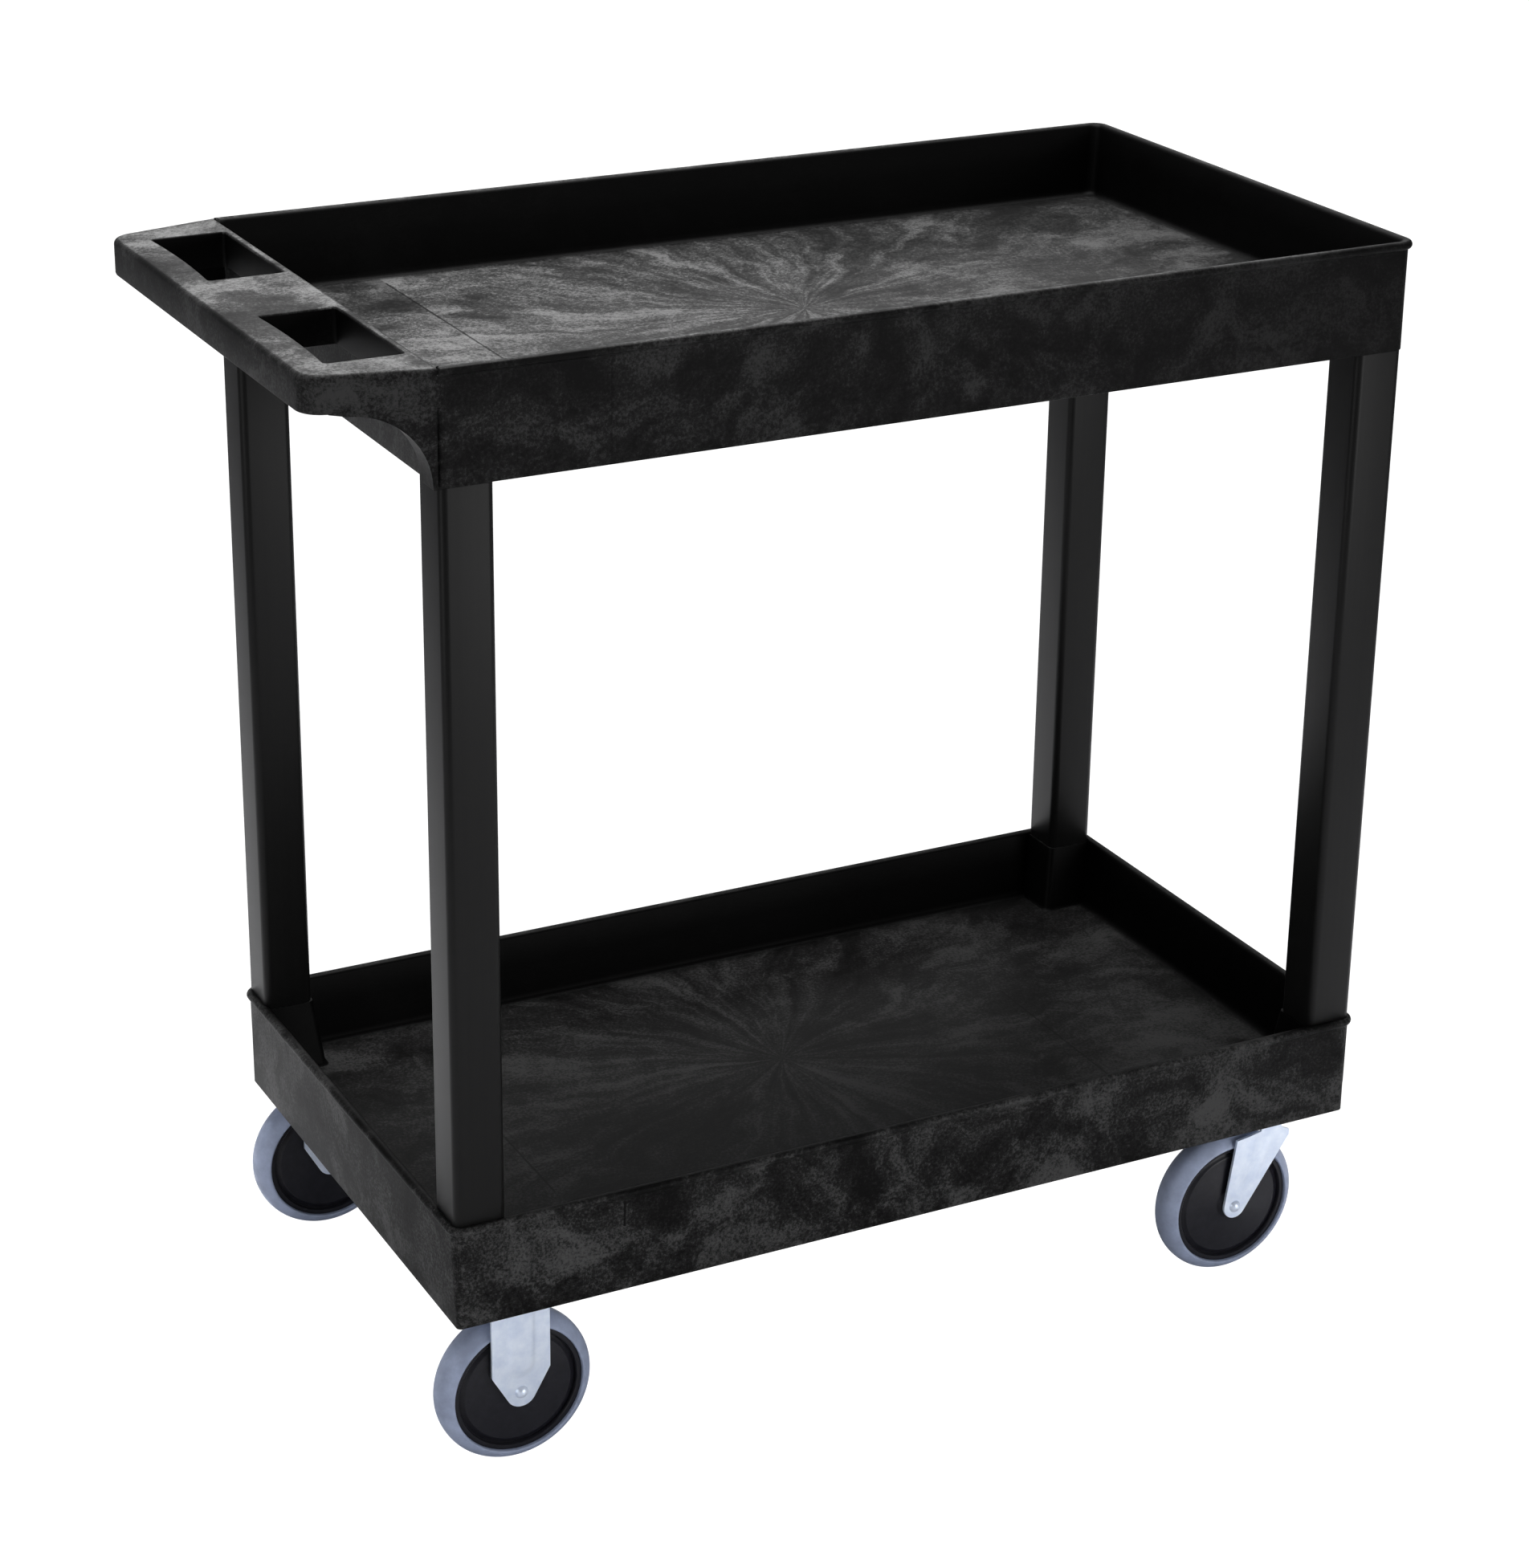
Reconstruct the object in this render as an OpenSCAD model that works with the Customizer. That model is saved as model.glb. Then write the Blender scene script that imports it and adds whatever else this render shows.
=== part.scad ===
// Food service trolley: two moulded tubs on four square legs, with a
// hand hold at one end, two rigid casters under it and two swivel
// casters at the other end. Millimetres, +X away from the hand hold,
// +Z up, origin on the floor under the middle of the whole trolley.

/* [Trolley] */
// Length of a tub over its rim
tub_len = 813; // [700:1:1000]
// Width of a tub over its rim
tub_wid = 457; // [400:1:600]
// How far the hand hold reaches beyond the tub
handle_reach = 86; // [75:1:110]
// Height of the upper rim above the floor
upper_rim = 881.5; // [760:0.5:960]
// Height of the lower rim above the floor
lower_rim = 220.5; // [219.5:0.5:222]

/* [Tubs] */
// Depth of a tub from rim to deck
tub_depth = 60; // [50:1:62]
// Height of a tub's outer wall
wall_height = 87; // [84:0.5:87]
// Thickness of a deck
deck_thick = 4.5; // [4:0.5:5]
// Radius of the rolled rim
bead_r = 3.4; // [3:0.1:3.8]
// Distance of the outer wall inside the rim
wall_inset = 3; // [2:0.1:3.2]
// Thickness of the wall below the deck
wall_thick = 3; // [2.5:0.1:3.2]
// Corner radius of the rim
corner_r = 14; // [12:1:20]
// Corner radius at the foot of the outer wall
foot_corner_r = 4; // [3:0.5:8]

/* [Legs] */
// Side of a leg's square tube
leg_side = 41; // [38:0.5:41]
// Distance of a leg's outer faces inside the rim
leg_inset = 5; // [5:0.5:7]
// Wall of a leg's tube
leg_wall = 3; // [2:0.5:4]
// Corner radius of a leg
leg_r = 6; // [4:0.5:8]
// Depth of the spigots that hold a leg
spigot_len = 55; // [30:1:90]

/* [Hand hold] */
// Width of each hand opening
hand_hole = 131; // [110:1:140]
// Length of each hand opening
hand_hole_len = 58; // [45:1:62]
// Width of the land between the hand openings
hand_land = 104; // [80:1:120]
// Depth of the hand hold
handle_depth = 28; // [24:1:32]

/* [Casters] */
// Wheel diameter
wheel_d = 127; // [125:0.5:127]
// Wheel width
wheel_w = 30; // [28:0.5:30]
// Diameter of the wheel's core
core_d = 106; // [90:1:110]
// Distance of a caster's middle inside the side rim
caster_inset = 28; // [28:0.5:32]
// Distance of the rigid wheels from the tub's hand hold end
rigid_inset = 58; // [56:1:64]
// Distance of the swivel axes from the tub's far end
swivel_inset = 73; // [70:1:84]
// Distance of a swivel wheel behind its swivel axis
trail = 32; // [30:1:34]
// Thickness of a caster's steel sheet
sheet = 2.5; // [2:0.1:2.6]
// Diameter of an axle
axle_d = 8; // [6:0.5:8]
// Running clearance on a radius
play = 0.05; // [0.03:0.01:0.08]

/* [Hidden] */

$fn = 48;
cut = 1;
FRONT = -1;
REAR = 1;

// Trolley
half_len = (tub_len + handle_reach) / 2;
tub_x0 = handle_reach - half_len;
tub_x1 = half_len;
tub_mid = (tub_x0 + tub_x1) / 2;
half_wid = tub_wid / 2;
leg_span_x = tub_len / 2 - leg_inset - leg_side / 2;
leg_span_y = half_wid - leg_inset - leg_side / 2;
leg_seat = 2.5;
leg_foot = lower_rim - leg_seat;
leg_head = upper_rim - wall_height;

// Tubs
bead_drop = 0.8;
lip_inset = 8;
lip_r = 7;
foot_inset = wall_inset + 1.9;
under_r = 3;
floor_levels = [[0, 20, 8], [2.5, 16.5, 9], [7, 15, 9]];
post_foot = 9;
post_head = 2;
post_slope = 3.5;
post_r = 5;
spigot_play = 0.4;
spigot_root = 3;
spigot_wall = 4;
rib_thick = 3;
rib_depth = 14;
cross_ribs = [137, 272, 407, 541, 637];
long_ribs = [-76, 76];

// Hand hold
handle_taper = 17;
handle_corner = 20;
handle_skin = 4.5;
handle_lap = 6;
handle_drop = 0.3;
end_lip = 3;
hole_gap = 2;
hole_r = 3;
gusset_r = 56;
gusset_thick = 26;
gusset_drop = 2;
gusset_shift = 3;
pocket_wall = 4;

// Casters
wheel_r = wheel_d / 2;
core_r = core_d / 2;
core_step = 2.5;
groove_depth = 4;
axle_r = axle_d / 2;
sleeve_r = axle_r + 2;
gap_half = wheel_w / 2 + 1;
fork_half = gap_half + sheet;
deck_under = lower_rim - tub_depth - deck_thick;
boss_h = 2.5;
plate_top = deck_under - boss_h;
plate_thick = 3;
plate_len = 92;
plate_wid = 40;
screw_span_x = 38;
screw_span_y = 13;
screw_r = 3;
screw_depth = 5.5;
screw_head_r = 5.4;
screw_head_h = 4;
plate_r = 6;
fork_wid = 48;
fork_tip_r = 12.5;
fork_shoulder = 17;
rib_wid = 22;
rib_proud = 0.8;
yoke_tip_r = 10.5;
yoke_neck = 10;
crown_z = wheel_d + 3;
crown_thick = 3;
crown_r = 20;
ball_r = 2.4;
ball_ring = 13;
ball_count = 14;
ball_gap = 0.1;
cup_wall = 3;
kingpin_r = 5;
kingpin_head_r = 8;
kingpin_head_h = 2;
bolt_dome = 2;
bolt_tail = 7;
nut_r = 7.5;
nut_h = 6;
rigid_x = tub_x0 + rigid_inset;
swivel_x = tub_x1 - swivel_inset;
caster_y = half_wid - caster_inset;

// ---- outlines ----

// Rectangle about the origin with round corners.
module round_rect(len, wid, r) {
    square([len - 2 * r, wid], center = true);
    square([len, wid - 2 * r], center = true);
    for (sx = [-1, 1])
        for (sy = [-1, 1])
            translate([sx * (len / 2 - r), sy * (wid / 2 - r)])
                circle(r);
}

// One thin level of a tub, at a distance inside the rim.
module tub_level(inset, r) {
    linear_extrude(0.01)
        round_rect(tub_len - 2 * inset, tub_wid - 2 * inset, r, $fn = 32);
}

// Outline of the hand hold, from the end wall out to the grip.
module handle_outline(inset) {
    hull() {
        translate([tub_x0 - handle_lap, inset + 1 - half_wid])
            square([2 * handle_lap, tub_wid - 2 - 2 * inset]);
        for (sy = [FRONT, REAR])
            translate([
                tub_x0 - handle_reach + handle_corner,
                sy * (half_wid - handle_taper - handle_corner)
            ])
                circle(handle_corner - inset, $fn = 32);
    }
}

// Outline of the two hand openings, grown on every side.
module hand_outline(grow) {
    for (sy = [FRONT, REAR])
        translate([
            tub_x0 - hole_gap - hand_hole_len / 2,
            sy * (hand_land + hand_hole) / 2
        ])
            round_rect(
                hand_hole_len + 2 * grow, hand_hole + 2 * grow, hole_r + grow / 2
            );
}

// ---- tubs ----

// Outer wall, with corners that sharpen towards the foot.
module tub_body(rim) {
    hull() {
        translate([tub_mid, 0, rim - bead_drop])
            tub_level(wall_inset, corner_r - wall_inset);
        translate([tub_mid, 0, rim - wall_height])
            tub_level(foot_inset, foot_corner_r);
    }
}

// Space inside a tub, with sloping sides and a rounded foot. It reaches
// further towards the hand hold at the top by end_reach.
module tub_space(rim, end_reach) {
    deck = rim - tub_depth;
    hull() {
        for (level = floor_levels)
            translate([tub_mid, 0, deck + level[0]])
                tub_level(level[1], level[2]);
        for (x = [tub_mid, tub_mid - end_reach])
            translate([x, 0, rim + cut])
                tub_level(lip_inset, lip_r);
    }
}

// Hollow below a deck, inside the outer wall.
module under_space(rim) {
    translate([tub_mid, 0, rim - wall_height - cut])
        linear_extrude(wall_height - tub_depth - deck_thick + cut)
            round_rect(
                tub_len - 2 * (foot_inset + wall_thick),
                tub_wid - 2 * (foot_inset + wall_thick), under_r
            );
}

// Rolled rim along both sides and the far end.
module rim_bead(rim, with_handle) {
    start_x = with_handle ? tub_x0 + 1 : tub_x0 + corner_r;
    run = tub_x1 - corner_r - start_x;
    translate([0, 0, rim - bead_r]) {
        for (sy = [-1, 1])
            translate([start_x, sy * (half_wid - bead_r), 0])
                rotate([0, 90, 0])
                    cylinder(run, r = bead_r);
        for (x = with_handle ? [tub_x1 - bead_r] : [tub_x0 + bead_r, tub_x1 - bead_r])
            translate([x, corner_r - half_wid, 0])
                rotate([-90, 0, 0])
                    cylinder(tub_wid - 2 * corner_r, r = bead_r);
        rim_corner(tub_x1 - corner_r, corner_r - half_wid, 270);
        rim_corner(tub_x1 - corner_r, half_wid - corner_r, 0);
        if (!with_handle) {
            rim_corner(tub_x0 + corner_r, half_wid - corner_r, 90);
            rim_corner(tub_x0 + corner_r, corner_r - half_wid, 180);
        }
    }
}

// Quarter turn of the rolled rim.
module rim_corner(x, y, start) {
    translate([x, y, 0])
        rotate([0, 0, start])
            rotate_extrude(angle = 90)
                translate([corner_r - bead_r, 0])
                    circle(bead_r);
}

// Stiffening ribs below a deck.
module deck_ribs(rim) {
    top = rim - tub_depth - deck_thick;
    room = tub_wid - 2 * (foot_inset + 1);
    translate([0, 0, top - rib_depth]) {
        for (x = cross_ribs)
            translate([tub_x0 + x - rib_thick / 2, -room / 2, 0])
                cube([rib_thick, room, rib_depth + 1]);
        for (y = long_ribs)
            translate([tub_x0 + foot_inset + 1, y - rib_thick / 2, 0])
                cube([tub_len - 2 * (foot_inset + 1), rib_thick, rib_depth + 1]);
    }
}

// Places its children at the four legs.
module at_legs() {
    for (sx = [-1, 1])
        for (sy = [-1, 1])
            translate([tub_mid + sx * leg_span_x, sy * leg_span_y, 0])
                children();
}

// Square tube that a leg slips over.
module spigot(length) {
    side = leg_side - 2 * leg_wall - spigot_play;
    linear_extrude(length)
        difference() {
            round_rect(side, side, leg_r - leg_wall);
            square(side - 2 * spigot_wall, center = true);
        }
}

// Drafted post in one corner of the lower tub, from the deck to the rim.
module corner_post(sx, sy) {
    foot = leg_side + post_foot;
    head = leg_side + post_head;
    hull() {
        translate([-sx * post_slope, -sy * post_slope, lower_rim - tub_depth - 1])
            linear_extrude(0.01)
                round_rect(foot, foot, post_r, $fn = 32);
        translate([0, 0, leg_foot - 0.01])
            linear_extrude(0.01)
                round_rect(head, head, post_r, $fn = 32);
    }
}

// The four corner posts, each with the spigot that its leg slips over.
module corner_posts() {
    root = leg_side - 2 * leg_wall - spigot_wall;
    intersection() {
        for (sx = [-1, 1])
            for (sy = [-1, 1])
                translate([tub_mid + sx * leg_span_x, sy * leg_span_y, 0])
                    corner_post(sx, sy);
        tub_body(lower_rim);
    }
    at_legs() {
        translate([0, 0, leg_foot])
            spigot(spigot_len);
        translate([-root / 2, -root / 2, leg_foot - spigot_root])
            cube([root, root, 2 * spigot_root]);
    }
}

module upper_tub() {
    color("#2c2c2d") {
        difference() {
            union() {
                tub_body(upper_rim);
                rim_bead(upper_rim, true);
                translate([0, 0, upper_rim - handle_depth])
                    linear_extrude(handle_depth - handle_drop)
                        handle_outline(0);
                translate([tub_x0, 8 - half_wid, upper_rim - bead_r])
                    cube([lip_inset + 1, tub_wid - 16, bead_r - handle_drop]);
                end_corners();
            }
            tub_space(upper_rim, end_lip);
            under_space(upper_rim);
            translate([0, 0, upper_rim - handle_depth - cut])
                linear_extrude(handle_depth + 2 * cut)
                    hand_outline(0);
            handle_pocket();
        }
        deck_ribs(upper_rim);
        gussets();
        at_legs() {
            translate([0, 0, leg_head])
                linear_extrude(wall_height - tub_depth - deck_thick + 1)
                    round_rect(leg_side, leg_side, leg_r);
            translate([0, 0, leg_head - spigot_len])
                spigot(spigot_len + 1);
        }
    }
}

// Square corners of the upper tub, where the sides meet the hand hold.
module end_corners() {
    for (sy = [FRONT, REAR])
        scale([1, sy, 1])
            hull()
                for (level = [[leg_head, foot_inset - 0.2], [upper_rim - 2, wall_inset - 0.5]])
                    translate([tub_x0 + foot_inset + 0.3, half_wid - corner_r, level[0]])
                        cube([corner_r, corner_r - level[1], 0.01]);
}

// Hollow below the hand hold, round the two openings.
module handle_pocket() {
    translate([0, 0, upper_rim - handle_depth - cut])
        linear_extrude(handle_depth - handle_skin + cut)
            difference() {
                handle_outline(pocket_wall);
                hand_outline(pocket_wall);
                translate([tub_x0 - hole_gap, -half_wid])
                    square([40, tub_wid]);
            }
}

// Curved brackets that carry the sides of the hand hold down the end wall.
module gussets() {
    under = upper_rim - handle_depth;
    foot = upper_rim - wall_height;
    intersection() {
        translate([0, 0, foot])
            linear_extrude(under - foot + 1)
                difference() {
                    handle_outline(0);
                    square([2 * tub_len, tub_wid - 2 * gusset_thick], center = true);
                    translate([tub_x0 + wall_inset + 2, -half_wid])
                        square([40, tub_wid]);
                }
        translate([
            tub_x0 + wall_inset - gusset_r - gusset_shift,
            half_wid, under - gusset_r - gusset_drop
        ])
            rotate([90, 0, 0])
                linear_extrude(tub_wid)
                    difference() {
                        translate([0, -gusset_r])
                            square([gusset_r + 10, 2 * gusset_r + 4]);
                        circle(gusset_r, $fn = 96);
                    }
    }
}

module lower_tub() {
    color("#262627") {
        difference() {
            union() {
                tub_body(lower_rim);
                rim_bead(lower_rim, false);
            }
            tub_space(lower_rim, 0);
            under_space(lower_rim);
            at_legs()
                translate([0, 0, leg_foot])
                    linear_extrude(leg_seat + cut)
                        round_rect(leg_side + 0.4, leg_side + 0.4, leg_r);
            at_caster_screws()
                translate([0, 0, plate_top - cut])
                    cylinder(screw_depth + cut, r = screw_r);
        }
        deck_ribs(lower_rim);
        corner_posts();
        at_caster_screws()
            translate([0, 0, plate_top])
                difference() {
                    cylinder(boss_h + 0.5, r = 2 * screw_r);
                    translate([0, 0, -cut])
                        cylinder(boss_h + 2 * cut, r = screw_r);
                }
    }
}

// ---- legs ----

module leg(sx, sy) {
    color("#2a2b2d")
        translate([tub_mid + sx * leg_span_x, sy * leg_span_y, leg_foot])
            linear_extrude(leg_head - leg_foot)
                difference() {
                    round_rect(leg_side, leg_side, leg_r);
                    round_rect(
                        leg_side - 2 * leg_wall, leg_side - 2 * leg_wall, leg_r - leg_wall
                    );
                }
}

// ---- casters, drawn about their own middle with the outer side at -Y ----

module at_rigid(side) {
    translate([rigid_x, side * caster_y, 0])
        scale([1, -side, 1])
            children();
}

module at_swivel(side) {
    translate([swivel_x, side * caster_y, 0])
        scale([1, -side, 1])
            children();
}

module at_wheel(side, turning) {
    if (turning)
        at_swivel(side) translate([-trail, 0, wheel_r]) children();
    else
        at_rigid(side) translate([0, 0, wheel_r]) children();
}

// Places its children at the four screws of one plate.
module at_plate_screws() {
    for (sx = [-1, 1])
        for (sy = [-1, 1])
            translate([sx * screw_span_x, sy * screw_span_y, 0])
                children();
}

// Places its children at all sixteen screws.
module at_caster_screws() {
    for (x = [rigid_x, swivel_x])
        for (y = [-caster_y, caster_y])
            translate([x, y, 0])
                at_plate_screws()
                    children();
}

// Cylinder along Y from one distance to another.
module y_rod(r, from, to) {
    translate([0, from, 0])
        rotate([-90, 0, 0])
            cylinder(to - from, r = r);
}

module base_plate() {
    translate([0, 0, plate_top - plate_thick])
        linear_extrude(plate_thick)
            difference() {
                round_rect(plate_len, plate_wid, plate_r);
                at_plate_screws()
                    circle(screw_r + 0.4);
            }
}

// Upright sheet with its outer face at -Y.
module side_sheet(face) {
    translate([0, face, 0])
        rotate([90, 0, 0])
            translate([0, 0, -sheet])
                linear_extrude(sheet)
                    children();
}

// Side of a rigid fork, about the axle.
module fork_outline() {
    rise = plate_top - plate_thick - wheel_r + 1;
    difference() {
        union() {
            circle(fork_tip_r);
            polygon([
                [-fork_tip_r * 0.84, -fork_tip_r * 0.54],
                [fork_tip_r * 0.84, -fork_tip_r * 0.54],
                [fork_wid / 2, fork_shoulder],
                [fork_wid / 2, rise],
                [-fork_wid / 2, rise],
                [-fork_wid / 2, fork_shoulder]
            ]);
        }
        circle(axle_r);
    }
}

// Pressed rib on a fork side, about the axle.
module fork_rib() {
    rise = plate_top - plate_thick - wheel_r - 6;
    base = fork_shoulder + rib_wid / 2;
    translate([0, base])
        circle(rib_wid / 2);
    translate([-rib_wid / 2, base])
        square([rib_wid, rise - base]);
}

module rigid_fork(side) {
    color("#c9d2de") {
        at_rigid(side) base_plate();
        at_wheel(side, false) {
            side_sheet(-fork_half) fork_outline();
            side_sheet(gap_half) fork_outline();
            translate([0, -rib_proud, 0])
                side_sheet(-fork_half) fork_rib();
            translate([0, rib_proud, 0])
                side_sheet(gap_half) fork_rib();
        }
    }
}

// Slanted side of a swivel yoke, about the axle.
module yoke_outline() {
    top = crown_z + crown_thick - wheel_r;
    shoulder = crown_z - 2.5 - wheel_r;
    difference() {
        union() {
            circle(yoke_tip_r);
            polygon([
                [trail - yoke_neck, top], [trail + yoke_neck, top],
                [trail + yoke_neck, shoulder], [50, shoulder - 3], [49.5, 56],
                [8.9, -5.6], [-10.4, 1.5], [-1.5, shoulder - 3],
                [trail - yoke_neck, shoulder]
            ]);
        }
        circle(axle_r);
    }
}

// Two pressed ridges on a yoke side, about the axle.
module yoke_ribs() {
    for (x = [12, 29])
        hull() {
            translate([x, 52])
                circle(3, $fn = 32);
            translate([x * 0.62, 26])
                circle(2, $fn = 32);
        }
}

module yoke(side) {
    color("#c9d2de") {
        at_swivel(side)
            difference() {
                translate([0, 0, crown_z])
                    cylinder(crown_thick, r = crown_r);
                translate([0, 0, crown_z - cut])
                    cylinder(crown_thick + 2 * cut, r = kingpin_r + play);
            }
        at_wheel(side, true) {
            side_sheet(-fork_half) yoke_outline();
            side_sheet(gap_half) yoke_outline();
            translate([0, -rib_proud, 0])
                side_sheet(-fork_half) yoke_ribs();
            translate([0, rib_proud, 0])
                side_sheet(gap_half) yoke_ribs();
        }
    }
}

// Plate of a swivel caster with the upper ball cup pressed into it.
module swivel_plate(side) {
    cup_z = crown_z + crown_thick + 2 * (ball_r + ball_gap);
    color("#c9d2de")
        at_swivel(side)
            difference() {
                union() {
                    base_plate();
                    translate([0, 0, cup_z])
                        cylinder(plate_top - cup_z - 1, r = crown_r);
                    translate([0, 0, crown_z + crown_thick + 1])
                        difference() {
                            cylinder(cup_z - crown_z - crown_thick, r = crown_r);
                            translate([0, 0, -cut])
                                cylinder(2 * crown_r, r = crown_r - cup_wall);
                        }
                }
                translate([0, 0, crown_z])
                    cylinder(crown_z, r = kingpin_r);
            }
}

module swivel_balls(side) {
    color("#d7dade")
        at_swivel(side)
            for (i = [0 : ball_count - 1])
                rotate([0, 0, i * 360 / ball_count])
                    translate([ball_ring, 0, crown_z + crown_thick + ball_r + ball_gap])
                        sphere(ball_r, $fn = 24);
}

module kingpin(side) {
    foot = crown_z - kingpin_head_h - 0.5;
    color("#b8bfc8")
        at_swivel(side) {
            translate([0, 0, foot])
                cylinder(plate_top + kingpin_head_h - foot, r = kingpin_r);
            translate([0, 0, foot])
                cylinder(kingpin_head_h + 0.3, r = kingpin_head_r);
            translate([0, 0, plate_top])
                cylinder(kingpin_head_h, r = kingpin_head_r);
        }
}

// Axle bolt with a domed head on the outer side.
module axle(side, turning) {
    head_r = axle_r + 1.3;
    color("#d9dee4")
        at_wheel(side, turning) {
            y_rod(axle_r, -fork_half - 1, fork_half + bolt_tail);
            translate([0, -fork_half, 0])
                rotate([90, 0, 0])
                    rotate_extrude()
                        intersection() {
                            translate([0, -bolt_dome])
                                circle(sqrt(head_r * head_r + bolt_dome * bolt_dome));
                            square([head_r, head_r]);
                        }
        }
}

module axle_nut(side, turning) {
    color("#c2c8cf")
        at_wheel(side, turning)
            translate([0, fork_half, 0])
                rotate([-90, 0, 0])
                    difference() {
                        cylinder(nut_h, r = nut_r, $fn = 6);
                        translate([0, 0, -cut])
                            cylinder(nut_h + 2 * cut, r = axle_r);
                    }
}

module sleeve(side, turning) {
    color("#9aa0a6")
        at_wheel(side, turning)
            difference() {
                y_rod(sleeve_r, -gap_half, gap_half);
                y_rod(axle_r, -gap_half - cut, gap_half + cut);
            }
}

// Wheel core: rim ring, stepped groove, flat disc and hub boss.
module core(side, turning) {
    face = wheel_w / 2 - core_step;
    groove = face - groove_depth;
    hub = wheel_w / 2 - 0.5;
    side_face = [
        [sleeve_r + play, hub], [12, hub], [13.5, face - 0.8],
        [core_r - 9.4, face - 0.8], [core_r - 8.2, face - 1.4],
        [core_r - 6.6, groove], [core_r - 4.6, groove],
        [core_r - 3.4, face], [core_r, face]
    ];
    color("#2b2b33")
        at_wheel(side, turning)
            rotate([-90, 0, 0])
                rotate_extrude($fn = 72)
                    polygon(concat(
                        side_face,
                        [for (i = [len(side_face) - 1 : -1 : 0]) [side_face[i].x, -side_face[i].y]]
                    ));
}

// Tyre with a crowned tread and round shoulders.
module tyre(side, turning) {
    half = wheel_w / 2;
    steps = 10;
    drop = 9;
    fall = 2.6;
    function crown(t) = [wheel_r - drop * pow(abs(t), fall), t * half];
    color("#8b93a6")
        at_wheel(side, turning)
            rotate([-90, 0, 0])
                rotate_extrude($fn = 72)
                    polygon(concat(
                        [[core_r, half - core_step], [core_r, core_step - half], [core_r + 0.8, -half]],
                        [for (i = [-steps : steps]) crown(i / steps)],
                        [[core_r + 0.8, half]]
                    ));
}

module caster_screws() {
    color("#bfc5cc")
        at_caster_screws() {
            translate([0, 0, plate_top - plate_thick - screw_head_h])
                cylinder(screw_head_h, r = screw_head_r, $fn = 6);
            translate([0, 0, plate_top - plate_thick - 0.5])
                cylinder(plate_thick + 0.5 + screw_depth - play, r = screw_r);
        }
}

upper_tub();
lower_tub();
leg(-1, FRONT);  // leg_handle_front
leg(-1, REAR);  // leg_handle_rear
leg(1, FRONT);  // leg_far_front
leg(1, REAR);  // leg_far_rear
caster_screws();
rigid_fork(FRONT);  // rigid_front_fork
axle(FRONT, false);  // rigid_front_axle
axle_nut(FRONT, false);  // rigid_front_nut
sleeve(FRONT, false);  // rigid_front_sleeve
core(FRONT, false);  // rigid_front_core
tyre(FRONT, false);  // rigid_front_tyre
rigid_fork(REAR);  // rigid_rear_fork
axle(REAR, false);  // rigid_rear_axle
axle_nut(REAR, false);  // rigid_rear_nut
sleeve(REAR, false);  // rigid_rear_sleeve
core(REAR, false);  // rigid_rear_core
tyre(REAR, false);  // rigid_rear_tyre
swivel_plate(FRONT);  // swivel_front_plate
swivel_balls(FRONT);  // swivel_front_balls
kingpin(FRONT);  // swivel_front_kingpin
yoke(FRONT);  // swivel_front_yoke
axle(FRONT, true);  // swivel_front_axle
axle_nut(FRONT, true);  // swivel_front_nut
sleeve(FRONT, true);  // swivel_front_sleeve
core(FRONT, true);  // swivel_front_core
tyre(FRONT, true);  // swivel_front_tyre
swivel_plate(REAR);  // swivel_rear_plate
swivel_balls(REAR);  // swivel_rear_balls
kingpin(REAR);  // swivel_rear_kingpin
yoke(REAR);  // swivel_rear_yoke
axle(REAR, true);  // swivel_rear_axle
axle_nut(REAR, true);  // swivel_rear_nut
sleeve(REAR, true);  // swivel_rear_sleeve
core(REAR, true);  // swivel_rear_core
tyre(REAR, true);  // swivel_rear_tyre
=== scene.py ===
"""Food service trolley: the finished looks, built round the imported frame.

Lengths are metres, +X runs from the hand hold to the swivel end and +Z is up.
"""

import math

import bmesh
import bpy
from mathutils import Euler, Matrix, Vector
from mathutils.geometry import tessellate_polygon


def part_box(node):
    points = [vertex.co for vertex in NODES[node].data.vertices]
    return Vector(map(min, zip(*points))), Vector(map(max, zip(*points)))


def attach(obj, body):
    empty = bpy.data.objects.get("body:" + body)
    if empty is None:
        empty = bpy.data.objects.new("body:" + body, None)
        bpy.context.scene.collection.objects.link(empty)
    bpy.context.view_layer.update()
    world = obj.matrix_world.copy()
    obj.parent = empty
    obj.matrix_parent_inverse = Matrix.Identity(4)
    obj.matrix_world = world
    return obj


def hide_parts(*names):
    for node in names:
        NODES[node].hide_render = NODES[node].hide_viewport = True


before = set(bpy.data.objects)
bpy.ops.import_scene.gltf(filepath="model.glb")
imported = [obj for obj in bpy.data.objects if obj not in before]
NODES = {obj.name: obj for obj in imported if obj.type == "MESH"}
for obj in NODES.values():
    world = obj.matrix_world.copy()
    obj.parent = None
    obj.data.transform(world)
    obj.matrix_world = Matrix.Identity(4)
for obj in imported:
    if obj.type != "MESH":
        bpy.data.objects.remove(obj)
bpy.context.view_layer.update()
MM = 0.001


# ---------------------------------------------------------------- camera

SENSOR_HEIGHT = 36.0
LENS_LENGTH = 83.6
LENS_SHIFT = (0.0268, -0.0579)
CAMERA_REACH = 60
CAMERA_PLACE = (-1.2485, -2.4117, 1.5767)
CAMERA_TURN = (68.463, -0.454, -26.651)


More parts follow.
